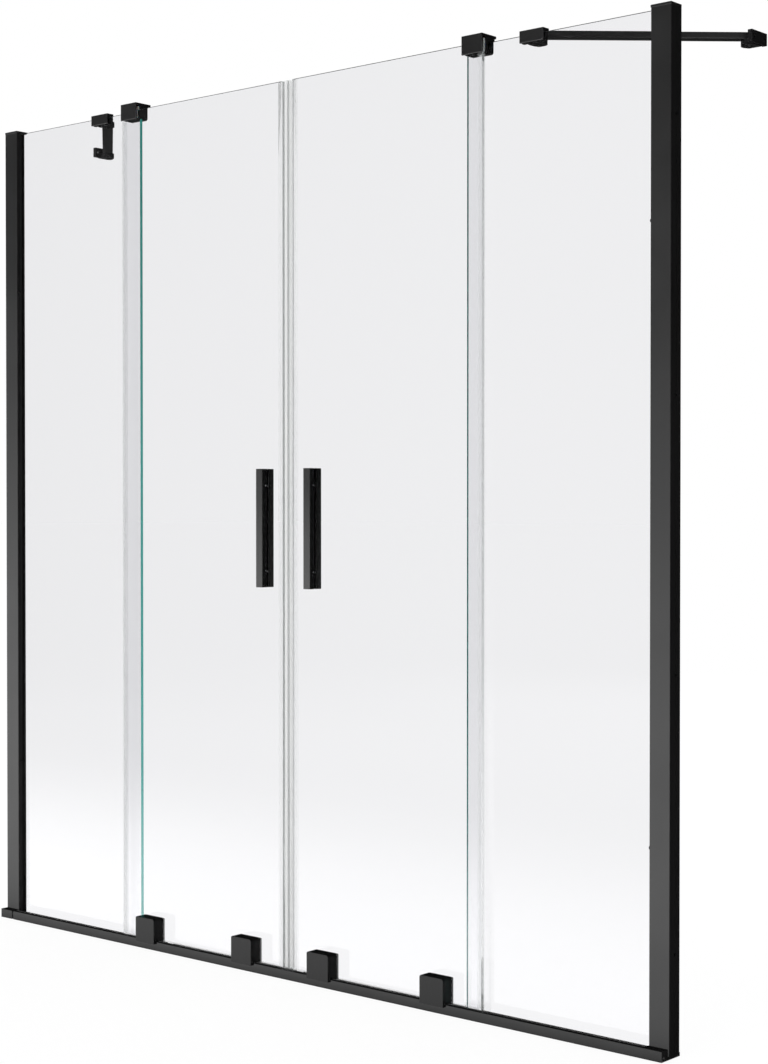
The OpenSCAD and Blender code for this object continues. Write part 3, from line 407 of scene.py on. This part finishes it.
def edge_finish(name, low, high, alpha=1.0):
    """Ground edge of a pane, whose colour changes with height as the light does."""
    material, tree, shader = new_material(name, Alpha=alpha, IOR=1.5)
    coordinates = add(tree, "ShaderNodeTexCoord", (-900, 200))
    axes = add(tree, "ShaderNodeSeparateXYZ", (-700, 200))
    link(tree, coordinates, "Object", axes, "Vector")
    # Painted light: height from the floor to the top of the screen picks the edge colour, lit low
    # and shaded high.
    height = spread(tree, axes, "Z", 0.0, 1.0, (-500, 200), 0.0, SCREEN_TOP)
    base = tone(tree, height, "Result", low, high, (-250, 200))
    marks = noise(tree, 900.0, 2.0, (-500, -200))
    gloss = spread(tree, marks, "Fac", 0.25, 0.4, (-250, -200))
    paint(tree, shader, base, gloss)
    return material


def seal_finish(name, rgb):
    """Clear flexible strip, a thin film to the eye, with faint drawing lines along its length."""
    material, tree, shader = new_material(name, Alpha=0.08, IOR=1.45)
    lines = noise(tree, 700.0, 2.0, (-500, 0), (1.0, 1.0, 0.02))
    base = tone(tree, lines, "Fac", scaled(rgb, 0.96), rgb, (-150, 200))
    gloss = spread(tree, lines, "Fac", 0.12, 0.22, (-150, -50))
    paint(tree, shader, base, gloss)
    return material


def magnet_finish(name, rgb):
    """Pale bonded magnet inside a clear seal."""
    material, tree, shader = new_material(name, Roughness=0.5, Alpha=0.3)
    cloud = noise(tree, 40.0, 2.0, (-500, 0), (1.0, 1.0, 0.1))
    base = tone(tree, cloud, "Fac", scaled(rgb, 0.96), rgb, (-150, 0))
    link(tree, base, "Result", shader, "Base Color")
    return material


MAKERS = {
    "black_profile": lambda name, f: black_finish(name, f.coat, f.coat_gloss, 1100.0),
    "black_metal": lambda name, f: black_finish(name, f.coat, f.coat_gloss - 0.03, 1300.0),
    "inner_profile": lambda name, f: black_finish(
        name, f.inner_coat, f.coat_gloss + 0.08, 1100.0, 0.4
    ),
    "black_plastic": lambda name, f: black_finish(name, f.moulding, f.coat_gloss + 0.04, 1800.0),
    "black_cover": lambda name, f: black_finish(name, f.moulding, f.smooth_gloss, 1500.0, 0.3),
    "handle_coat": lambda name, f: black_finish(name, f.coat, f.smooth_gloss, 900.0),
    "black_rubber": lambda name, f: rubber_finish(name, f.rubber),
    "clear_glass": lambda name, f: glass_finish(name, f.glass),
    "bare_edge": lambda name, f: edge_finish(name, f.edge_low, f.edge_high),
    "sealed_edge": lambda name, f: edge_finish(name, f.sealed_edge, f.sealed_edge, 0.15),
    "meeting_edge": lambda name, f: edge_finish(name, f.meeting_edge, f.meeting_edge),
    "top_edge": lambda name, f: edge_finish(name, f.top_edge, f.top_edge),
    "clear_seal": lambda name, f: seal_finish(name, f.seal),
    "magnet_strip": lambda name, f: magnet_finish(name, f.magnet),
    "nylon": lambda name, f: nylon_finish(name, f.nylon),
    "screw_steel": lambda name, f: steel_finish(name, f.steel),
}


def slot_material(slot):
    """The finish of one of the record's slots or of a part of one, made once."""
    name = f"{slot}_finish"
    return bpy.data.materials.get(name) or MAKERS[slot](name, finishes())


def dress_all():
    """A finish for every part of the model"""
    for node, slot in SLOT_OF.items():
        materials = NODES[node].data.materials
        if len(materials):
            materials[0] = slot_material(slot)
        else:
            materials.append(slot_material(slot))


# Fasteners


def merged(node):
    """A node's mesh with its doubled points merged, for editing."""
    mesh = bmesh.new()
    mesh.from_mesh(NODES[node].data)
    bmesh.ops.remove_doubles(mesh, verts=mesh.verts, dist=SAME_POINT)
    return mesh


def islands(mesh):
    """Lowest and highest corner of each separate solid of a mesh."""
    left = set(mesh.verts)
    found = []
    while left:
        group, frontier = set(), {left.pop()}
        while frontier:
            vertex = frontier.pop()
            group.add(vertex)
            frontier |= {edge.other_vert(vertex) for edge in vertex.link_edges} - group
        left -= group
        low = Vector([min(vertex.co[i] for vertex in group) for i in range(3)])
        high = Vector([max(vertex.co[i] for vertex in group) for i in range(3)])
        found.append((low, high))
    return found


def solids(node):
    """Lowest and highest corner of each separate solid of a node, in a fixed order."""
    mesh = merged(node)
    boxes = islands(mesh)
    mesh.free()
    return sorted(boxes, key=lambda box: tuple(round(value, 5) for value in box[0]))


def long_axis(low, high):
    """The axis of a round pin: the one whose extent differs from the other two."""
    size = high - low
    return min(range(3), key=lambda i: abs(size[(i + 1) % 3] - size[(i + 2) % 3]))


def point_cloud(name, places):
    """A mesh of loose points, each with the direction that its head faces."""
    mesh = bpy.data.meshes.new(name)
    mesh.from_pydata([place for place, _ in places], [], [])
    facing = mesh.attributes.new("facing", "FLOAT_VECTOR", "POINT")
    for index, (_, direction) in enumerate(places):
        facing.data[index].vector = direction
    return mesh


HEAD_INPUTS = (
    ("Radius", "NodeSocketFloat"),
    ("Height", "NodeSocketFloat"),
    ("Chamfer", "NodeSocketFloat"),
    ("Socket radius", "NodeSocketFloat"),
    ("Socket depth", "NodeSocketFloat"),
    ("Socket sides", "NodeSocketInt"),
    ("Sides", "NodeSocketInt"),
    ("Shank radius", "NodeSocketFloat"),
    ("Shank length", "NodeSocketFloat"),
    ("Material", "NodeSocketMaterial"),
)


def head_tree():
    """Tree that sets a chamfered socket head with its shank on every point.

    A head rises along its point's facing direction, and its shank runs the other way.
    """
    tree = bpy.data.node_groups.new(HEAD_TREE, "GeometryNodeTree")
    tree.interface.new_socket(name="Geometry", in_out="INPUT", socket_type="NodeSocketGeometry")
    for label, kind in HEAD_INPUTS:
        tree.interface.new_socket(name=label, in_out="INPUT", socket_type=kind)
    tree.interface.new_socket(name="Geometry", in_out="OUTPUT", socket_type="NodeSocketGeometry")
    source = add(tree, "NodeGroupInput", (-1400, 0))
    target = add(tree, "NodeGroupOutput", (1400, 0))
    inputs = source.outputs

    def calc(operation, place, *values):
        """Result of a sum with sockets and numbers."""
        node = add(tree, "ShaderNodeMath", place, operation=operation)
        for index, value in enumerate(values):
            if isinstance(value, (int, float)):
                node.inputs[index].default_value = value
            else:
                tree.links.new(value, node.inputs[index])
        return node.outputs[0]

    def join(node, **entries):
        """Links sockets to a node's named inputs."""
        for entry, value in entries.items():
            tree.links.new(value, node.inputs[entry.replace("_", " ")])
        return node

    def lift(mesh, height, place):
        """A mesh moved up."""
        offset = join(add(tree, "ShaderNodeCombineXYZ", (place[0], place[1] - 150)), Z=height)
        node = add(tree, "GeometryNodeTransform", place)
        return join(node, Geometry=mesh, Translation=offset.outputs[0]).outputs[0]

    straight = calc("SUBTRACT", (-1150, 300), inputs["Height"], inputs["Chamfer"])
    narrow = calc("SUBTRACT", (-1150, 0), inputs["Radius"], inputs["Chamfer"])
    rim = add(tree, "GeometryNodeMeshCylinder", (-900, 400))
    join(rim, Vertices=inputs["Sides"], Radius=inputs["Radius"], Depth=straight)
    top = add(tree, "GeometryNodeMeshCone", (-900, 0))
    join(top, Vertices=inputs["Sides"], Radius_Top=narrow, Radius_Bottom=inputs["Radius"],
         Depth=inputs["Chamfer"])
    shank = add(tree, "GeometryNodeMeshCylinder", (-900, -300))
    join(shank, Vertices=inputs["Sides"], Radius=inputs["Shank radius"],
         Depth=inputs["Shank length"])
    rim_middle = calc("MULTIPLY", (-900, 200), straight, 0.5)
    shank_middle = calc("MULTIPLY", (-900, -550), inputs["Shank length"], -0.5)
    whole = add(tree, "GeometryNodeMeshBoolean", (-350, 100), operation="UNION")
    for part in (
        lift(rim.outputs["Mesh"], rim_middle, (-650, 400)),
        lift(top.outputs["Mesh"], straight, (-650, 0)),
        lift(shank.outputs["Mesh"], shank_middle, (-650, -300)),
    ):
        tree.links.new(part, whole.inputs["Mesh 2"])

    cutter = add(tree, "GeometryNodeMeshCylinder", (-900, -800))
    deep = calc("MULTIPLY", (-1150, -800), inputs["Socket depth"], 2.0)
    join(cutter, Vertices=inputs["Socket sides"], Radius=inputs["Socket radius"], Depth=deep)
    socket = lift(cutter.outputs["Mesh"], inputs["Height"], (-350, -800))
    head = add(tree, "GeometryNodeMeshBoolean", (0, 0), operation="DIFFERENCE")
    join(head, Mesh_1=whole.outputs["Mesh"], Mesh_2=socket)

    facing = add(tree, "GeometryNodeInputNamedAttribute", (0, -400), data_type="FLOAT_VECTOR")
    facing.inputs["Name"].default_value = "facing"
    turn = add(tree, "FunctionNodeAlignRotationToVector", (250, -400), axis="Z")
    join(turn, Vector=facing.outputs["Attribute"])
    heads = add(tree, "GeometryNodeInstanceOnPoints", (500, 0))
    join(heads, Points=inputs["Geometry"], Instance=head.outputs["Mesh"],
         Rotation=turn.outputs["Rotation"])
    real = add(tree, "GeometryNodeRealizeInstances", (800, 0))
    join(real, Geometry=heads.outputs["Instances"])
    finish = add(tree, "GeometryNodeSetMaterial", (1100, 0))
    join(finish, Geometry=real.outputs["Geometry"], Material=inputs["Material"])
    join(target, Geometry=finish.outputs["Geometry"])
    return tree


def set_heads(name, places, radius, height, slot, **sizes_given):
    """Runs the head tree over a set of places and returns the plain mesh that it makes.

    The shank's radius and length are always given, and any other size can be.
    """
    sizes = fasteners()
    values = {
        "Radius": radius,
        "Height": height,
        "Chamfer": sizes.chamfer,
        "Socket radius": sizes.socket,
        "Socket depth": sizes.socket_depth,
        "Socket sides": HEXAGON,
        "Sides": sizes.sides,
        "Material": slot_material(slot),
        **{label.replace("_", " "): value for label, value in sizes_given.items()},
    }
    tree = bpy.data.node_groups.get(HEAD_TREE) or head_tree()
    holder = put(f"{name}_points", point_cloud(f"{name}_points", places))
    modifier = holder.modifiers.new("Heads", "NODES")
    modifier.node_group = tree
    for item in tree.interface.items_tree:
        if item.in_out == "INPUT" and item.name in values:
            modifier[item.identifier] = values[item.name]
    mesh = plain_mesh(holder)
    if not mesh.polygons:
        raise RuntimeError(f"the head tree made nothing for {name}")
    return mesh


def place_piece(mesh, body, nodes):
    """A piece made of a mesh, riding on its body in place of the CAD nodes that it stands for."""
    piece = put(mesh.name, mesh)
    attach(piece, body)
    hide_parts(*nodes)
    return piece


def settle(name, meshes, body, slot, nodes):
    """One smooth-shaded piece of one finish from several meshes."""
    whole = bmesh.new()
    for mesh in meshes:
        whole.from_mesh(mesh)
    joined = bpy.data.meshes.new(name)
    whole.to_mesh(joined)
    whole.free()
    joined.polygons.foreach_set("use_smooth", [True] * len(joined.polygons))
    joined.set_sharp_from_angle(angle=SHARP)
    joined.validate()
    joined.materials.clear()
    joined.materials.append(slot_material(slot))
    place_piece(joined, body, nodes)


def middle(low, high):
    """Point midway between two corners."""
    return (low + high) / 2


def add_frame_screws():
    """Pan-head screws that join the nested channels and hold the rail's end caps"""
    sizes = fasteners()
    joining, capping = [], []
    for low, high in solids("frame_screws"):
        centre = middle(low, high)
        if long_axis(low, high) == Y_AXIS:
            joining.append(((centre.x, high.y - sizes.pan_height, centre.z), (0, 1, 0)))
        else:
            side = 1 if centre.x > 0 else -1
            outer = high.x if side > 0 else low.x
            seat = outer - side * sizes.cap_head_height
            capping.append(((seat, centre.y, centre.z), (side, 0, 0)))
    meshes = [
        set_heads("joining", joining, sizes.pan_radius, sizes.pan_height, "screw_steel",
                  Shank_radius=sizes.pan_shank, Shank_length=sizes.pan_shank_length),
        set_heads("capping", capping, sizes.cap_head_radius, sizes.cap_head_height, "screw_steel",
                  Shank_radius=sizes.cap_shank, Shank_length=sizes.cap_shank_length),
    ]
    settle("frame_screw_heads", meshes, NODE_BODY["frame_screws"], "screw_steel", ["frame_screws"])


def add_clamp_screws():
    """Socket grub screws of the clamps and guides, and the screws of the guide lids"""
    sizes = fasteners()
    grubs, lids, grub_box, lid_box = [], [], None, None
    for low, high in solids("clamp_screws"):
        centre = middle(low, high)
        if long_axis(low, high) == Y_AXIS:
            grubs.append((((centre.x, low.y, centre.z), (0, 1, 0)), high.y - low.y))
            grub_box = (low, high)
        else:
            lids.append(((centre.x, centre.y, high.z - sizes.lid_height), (0, 0, 1)))
            lid_box = (low, high)
    grub_r = (grub_box[1].x - grub_box[0].x) / 2
    lid_r = (lid_box[1].x - lid_box[0].x) / 2
    lid_length = lid_box[1].z - lid_box[0].z
    meshes = [
        set_heads("lids", lids, lid_r, sizes.lid_height, "screw_steel",
                  Chamfer=sizes.chamfer / 2, Shank_radius=lid_r / 2,
                  Shank_length=lid_length - sizes.lid_height)
    ]
    for index, depth in enumerate(sorted({round(depth, 5) for _, depth in grubs})):
        places = [place for place, long in grubs if round(long, 5) == depth]
        meshes.append(
            set_heads(f"grubs_{index}", places, grub_r, depth, "screw_steel",
                      Chamfer=sizes.chamfer / 2, Shank_radius=grub_r / 2,
                      Shank_length=sizes.tiny)
        )
    settle("clamp_screw_heads", meshes, NODE_BODY["clamp_screws"], "screw_steel", ["clamp_screws"])


def add_pivot_screws():
    """Pivot screws of the stays, with their heads under the lugs"""
    sizes = fasteners()
    for node in ("stay_pivots", *sided("bracket_pivot")):
        boxes = solids(node)
        low, high = boxes[0]
        places = [((*middle(*box).xy, box[0].z + sizes.pivot_height), (0, 0, -1)) for box in boxes]
        mesh = set_heads(node, places, (high.x - low.x) / 2, sizes.pivot_height, SLOT_OF[node],
                         Socket_radius=sizes.pivot_socket, Shank_radius=sizes.pivot_shank,
                         Shank_length=high.z - low.z - sizes.pivot_height)
        settle(f"{node}_screws", [mesh], NODE_BODY[node], SLOT_OF[node], [node])


def add_roller_bolts():
    """Bolts of the rollers, with their heads on the back plates behind the glass"""
    sizes = fasteners()
    for node in sided("roller_bolts"):
        boxes = solids(node)
        low, high = boxes[0]
        places = []
        for box in boxes:
            centre = middle(*box)
            places.append(((centre.x, box[1].y - sizes.bolt_height, centre.z), (0, 1, 0)))
        mesh = set_heads(node, places, (high.x - low.x) / 2, sizes.bolt_height, SLOT_OF[node],
                         Socket_radius=sizes.pivot_socket, Shank_radius=sizes.bolt_shank,
                         Shank_length=high.y - low.y - sizes.bolt_height)
        settle(f"{node}_set", [mesh], NODE_BODY[node], SLOT_OF[node], [node])


# Pieces with broken edges


def broken_edges(node, width):
    """A merged copy of a node's mesh, with its sharp edges rounded over by a width."""
    mesh = merged(node)
    bmesh.ops.dissolve_limit(mesh, angle_limit=FLAT, verts=mesh.verts, edges=mesh.edges)
    copy = bpy.data.meshes.new(f"{node}_merged")
    mesh.to_mesh(copy)
    mesh.free()
    copy.polygons.foreach_set("use_smooth", [True] * len(copy.polygons))
    holder = put(f"{node}_merged", copy)
    bevel = holder.modifiers.new("Edges", "BEVEL")
    bevel.width = width
    bevel.segments = EDGE_SEGMENTS
    bevel.limit_method = "ANGLE"
    bevel.angle_limit = SHARP
    bevel.use_clamp_overlap = True
    holder.modifiers.new("Shading", "WEIGHTED_NORMAL").keep_sharp = True
    return plain_mesh(holder)


def faced(node, name, slots, which):
    """Flat-shaded copy of a node in place of it, whose faces each take one of several finishes."""
    mesh = merged(node)
    for face in mesh.faces:
        face.smooth = False
        face.material_index = which(face)
    copy = bpy.data.meshes.new(name)
    for slot in slots:
        copy.materials.append(slot_material(slot))
    mesh.to_mesh(copy)
    mesh.free()
    place_piece(copy, NODE_BODY[node], [node])


def add_panes():
    """The four panes, with clear faces and ground edges"""
    clear, outer, inner, level = range(4)
    near = finishes().edge_zone
    for node in sided("fixed_glass", "door_glass"):
        low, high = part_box(node)

        def finish_of(face):
            place = face.calc_center_median()
            if abs(face.normal.y) > SQUARELY:
                return clear
            if abs(face.normal.z) > SQUARELY and min(place.z - low.z, high.z - place.z) < near:
                return level
            if min(place.x - low.x, high.x - place.x) > near:
                return clear
            return outer if abs(place.x) > abs(middle(low, high).x) else inner

        fixed = node.startswith("fixed")
        edges = ("bare_edge", "bare_edge") if fixed else ("sealed_edge", "meeting_edge")
        faced(node, f"{node}_pane", ("clear_glass", *edges, "top_edge"), finish_of)


def add_meeting_seals():
    """Clear meeting seals with the pale magnet strip inside each"""
    for node in sided("meeting_seal"):
        strip = min(solids(node), key=lambda box: box[1].x - box[0].x)

        def finish_of(face):
            place = face.calc_center_median()
            return 1 if all(strip[0][i] <= place[i] <= strip[1][i] for i in range(3)) else 0

        faced(node, f"{node}_strip", ("clear_seal", "magnet_strip"), finish_of)


def add_handle_fixings():
    """Studs, bushes and grub screws of the handles, with rubber gaskets on the glass"""
    thick = fasteners().gasket
    for side in SIDES:
        front, back = (corner.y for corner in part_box(f"door_glass_{side}"))

        def finish_of(face):
            place = face.calc_center_median().y
            return 1 if front - thick < place < front or back < place < back + thick else 0

        node = f"handle_fixings_{side}"
        faced(node, f"{node}_set", ("screw_steel", "black_rubber"), finish_of)


def add_finished(names, width, finish=None):
    """Finished copies of these nodes, each in place of its node."""
    for node in names:
        mesh = broken_edges(node, width)
        mesh.name = f"{node}_finished"
        mesh.materials.clear()
        mesh.materials.append(slot_material(finish or SLOT_OF[node]))
        piece = place_piece(mesh, NODE_BODY[node], [node])
        piece.visible_glossy = not node.startswith(UNMIRRORED)


def finish_frame():
    """Rounded edges on the rail, the wall profiles and their caps"""
    edges = finishes()
    add_finished(["bottom_rail", *sided("glass_channel", "wall_channel")], edges.extrusion_edge)
    add_finished(sided("rail_cap", "profile_cap"), edges.moulded_edge)


def finish_fittings():
    """Rounded edges on the guides, stays, handles and rollers"""
    edges = finishes()
    fittings = sided("guide_body", "guide_hood", "stay_clamp", "stay_bar", "wall_bracket")
    add_finished(fittings, edges.metal_edge)
    add_finished(sided("handle_front", "handle_back"), edges.metal_edge, "handle_coat")
    add_finished(sided("roller_covers"), edges.moulded_edge)
    add_finished(sided("roller_carriages"), edges.extrusion_edge)
    add_finished(sided("wheel_near", "wheel_far"), edges.moulded_edge)


# Stage


def times(tree, first, second, place):
    """Product of two sockets."""
    node = add(tree, "ShaderNodeMath", place, operation="MULTIPLY")
    tree.links.new(first, node.inputs[0])
    tree.links.new(second, node.inputs[1])
    return node.outputs[0]


def mixed(tree, factor, plain, special, place):
    """Shader that is special where the factor is 1 and plain where it is 0."""
    mix = add(tree, "ShaderNodeMixShader", place)
    tree.links.new(factor, mix.inputs["Fac"])
    tree.links.new(plain, mix.inputs[1])
    tree.links.new(special, mix.inputs[2])
    return mix.outputs[0]


def staged(tree, plain, satin, mirror, seen):
    """Shader of the stage: plain as light, a room for satin, one for mirrors, and what is seen.

    The camera sees the stage also through glass, but not where a surface has mirrored it.
    """
    path = add(tree, "ShaderNodeLightPath", (200, 800))
    through = add(tree, "ShaderNodeMath", (400, 900), operation="MAXIMUM")
    tree.links.new(path.outputs["Is Camera Ray"], through.inputs[0])
    tree.links.new(path.outputs["Is Transmission Ray"], through.inputs[1])
    direct = add(tree, "ShaderNodeMath", (400, 700), operation="LESS_THAN")
    tree.links.new(path.outputs["Glossy Depth"], direct.inputs[0])
    direct.inputs[1].default_value = 0.5
    camera = times(tree, through.outputs[0], direct.outputs[0], (600, 800))
    shader = mixed(tree, path.outputs["Is Glossy Ray"], plain, satin, (500, 0))
    shader = mixed(tree, path.outputs["Is Singular Ray"], shader, mirror, (700, 0))
    return mixed(tree, camera, shader, seen, (900, 0))


def glow(tree, kind, strength, place):
    """White light of one strength, or of a strength that a socket gives."""
    node = add(tree, kind, place)
    node.inputs["Color"].default_value = (1.0, 1.0, 1.0, 1.0)
    if isinstance(strength, float):
        node.inputs["Strength"].default_value = strength
    else:
        tree.links.new(strength, node.inputs["Strength"])
    return node.outputs[0]


def matt(tree, value, place):
    """Grey that throws light back evenly."""
    node = add(tree, "ShaderNodeBsdfDiffuse", place)
    node.inputs["Color"].default_value = (value, value, value, 1.0)
    return node.outputs[0]


def curve(tree, source, output, stops, place):
    """Brightness along a value, by stops in rising order of it."""
    low, high = stops[0][0], stops[-1][0]
    lift = spread(tree, source, output, 0.0, 1.0, (place[0] - 200, place[1]), low, high)
    ramp = add(tree, "ShaderNodeValToRGB", place)
    link(tree, lift, "Result", ramp, "Fac")
    elements = ramp.color_ramp.elements
    for _ in stops[2:]:
        elements.new(1.0)
    for stop, (at, value) in zip(elements, stops):
        stop.position = (at - low) / (high - low)
        stop.color = (value, value, value, 1.0)
    scale = add(tree, "ShaderNodeMath", (place[0] + 300, place[1]), operation="MULTIPLY")
    tree.links.new(ramp.outputs["Color"], scale.inputs[0])
    scale.inputs[1].default_value = GLOW_SCALE
    return scale.outputs[0]


def stage_tree(holder, output_kind, space):
    """Fresh node tree of the world or the floor, with its output and its axes."""
    holder.use_nodes = True
    tree = holder.node_tree
    tree.nodes.clear()
    output = add(tree, output_kind, (1300, 0))
    coordinates = add(tree, "ShaderNodeTexCoord", (-1000, 0))
    axes = add(tree, "ShaderNodeSeparateXYZ", (-800, 0))
    link(tree, coordinates, space, axes, "Vector")
    return tree, output, axes


def set_world():
    """White background, with a room for reflections that is lit in front and dark behind."""
    world = bpy.data.worlds.new("Studio")
    bpy.context.scene.world = world
    tree, output, axes = stage_tree(world, "ShaderNodeOutputWorld", "Generated")
    world.cycles.sampling_method = "NONE"
    front = curve(tree, axes, "Y", ROOM_DEPTH, (-400, 300))
    satin = times(tree, front, curve(tree, axes, "Z", ROOM_SATIN, (-400, 0)), (100, 100))
    mirror = times(tree, front, curve(tree, axes, "Z", ROOM_MIRROR, (-400, -300)), (100, -100))
    lights = ((AMBIENT, 300), (satin, 100), (mirror, -100), (1.0, -300))
    glows = [glow(tree, "ShaderNodeBackground", light, (300, row)) for light, row in lights]
    tree.links.new(staged(tree, *glows), output.inputs["Surface"])


def set_floor(stage):
    """White floor that keeps a soft shadow, and glows in front of the screen in reflections."""
    half = stage.floor_half
    corners = [(-half, -half, 0), (half, -half, 0), (half, half, 0), (-half, half, 0)]
    mesh = bpy.data.meshes.new("floor")
    mesh.from_pydata(corners, [], [(0, 1, 2, 3)])
    material = bpy.data.materials.new("Floor")
    tree, output, axes = stage_tree(material, "ShaderNodeOutputMaterial", "Object")
    material.cycles.emission_sampling = "NONE"
    kind = "ShaderNodeEmission"
    seen = add(tree, "ShaderNodeAddShader", (500, 400))
    tree.links.new(matt(tree, FLOOR_MATT, (300, 500)), seen.inputs[0])
    tree.links.new(glow(tree, kind, FLOOR_GLOW, (300, 300)), seen.inputs[1])
    lit = matt(tree, FLOOR_LIT, (300, 200))
    satin = glow(tree, kind, curve(tree, axes, "Y", FLOOR_SATIN, (-400, 0)), (300, 100))
    mirror = glow(tree, kind, curve(tree, axes, "Y", FLOOR_MIRROR, (-400, -300)), (300, -100))
    shader = staged(tree, lit, satin, mirror, seen.outputs[0])
    tree.links.new(shader, output.inputs["Surface"])
    mesh.materials.append(material)
    floor = put("floor", mesh)


def soft_light(name, place, energy):
    """Square soft light that shows neither to the camera nor in glass."""
    data = bpy.data.lights.new(name, "AREA")
    data.energy = energy
    data.size = LIGHT_SIZE
    lamp = put(name, data)
    lamp.location = place
    aim = Vector(LIGHT_AIM) - Vector(place)
    lamp.rotation_euler = aim.to_track_quat("-Z", "Y").to_euler()
    lamp.visible_camera = False
    lamp.visible_glossy = False
    lamp.visible_transmission = False


def build_stage():
    """White stage with the photograph's camera, a room for reflections and two soft lights"""
    stage = bpy.context.scene.shower_stage
    set_world()
    set_floor(stage)
    soft_light("key", KEY_PLACE, stage.key_energy)
    soft_light("back", BACK_PLACE, stage.back_energy)
    data = bpy.data.cameras.new("camera")
    data.lens = stage.lens
    camera = put("camera", data)
    camera.location = (stage.camera_x, stage.camera_y, stage.camera_z)
    camera.rotation_euler = Euler((HALF_PI - stage.camera_dip, 0.0, stage.camera_turn))
    bpy.context.scene.camera = camera
    bpy.context.scene.view_settings.view_transform = "Standard"


# Add-on


def operator(action, label):
    """Operator class that runs one building step."""

    def execute(self, context):
        action()
        return {"FINISHED"}

    name = action.__name__
    fields = {
        "bl_idname": f"shower.{name}",
        "bl_label": label,
        "__doc__": action.__doc__,
        "execute": execute,
    }
    return type(f"SHOWER_OT_{name}", (bpy.types.Operator,), fields)


STEPS = (
    operator(dress_all, "Finishes"),
    operator(add_panes, "Panes"),
    operator(add_meeting_seals, "Meeting seals"),
    operator(finish_frame, "Frame edges"),
    operator(finish_fittings, "Fitting edges"),
    operator(add_frame_screws, "Frame screws"),
    operator(add_clamp_screws, "Clamp screws"),
    operator(add_pivot_screws, "Pivot screws"),
    operator(add_roller_bolts, "Roller bolts"),
    operator(add_handle_fixings, "Handle fixings"),
    operator(build_stage, "Stage"),
)


class SHOWER_PT_panel(bpy.types.Panel):
    """Settings and building steps of the shower screen"""

    bl_idname = "SHOWER_PT_panel"
    bl_label = "Sliding shower screen"
    bl_space_type = "VIEW_3D"
    bl_region_type = "UI"
    bl_category = "Shower"

    def draw(self, context):
        layout = self.layout
        for group, settings in GROUPS.items():
            box = layout.box()
            for name in settings.__annotations__:
                box.prop(getattr(context.scene, group), name)
        for step in STEPS:
            layout.operator(step.bl_idname)


GROUPS = {
    "shower_finishes": ShowerFinishes,
    "shower_fasteners": ShowerFasteners,
    "shower_stage": ShowerStage,
}
CLASSES = (*GROUPS.values(), *STEPS, SHOWER_PT_panel)


def register():
    for item in CLASSES:
        bpy.utils.register_class(item)
    for name, group in GROUPS.items():
        setattr(bpy.types.Scene, name, PointerProperty(type=group))


def unregister():
    for name in GROUPS:
        delattr(bpy.types.Scene, name)
    for item in reversed(CLASSES):
        bpy.utils.unregister_class(item)


def main():
    register()
    for step in STEPS:
        family, name = step.bl_idname.split(".")
        getattr(getattr(bpy.ops, family), name)()


if __name__ == "__main__":
    main()
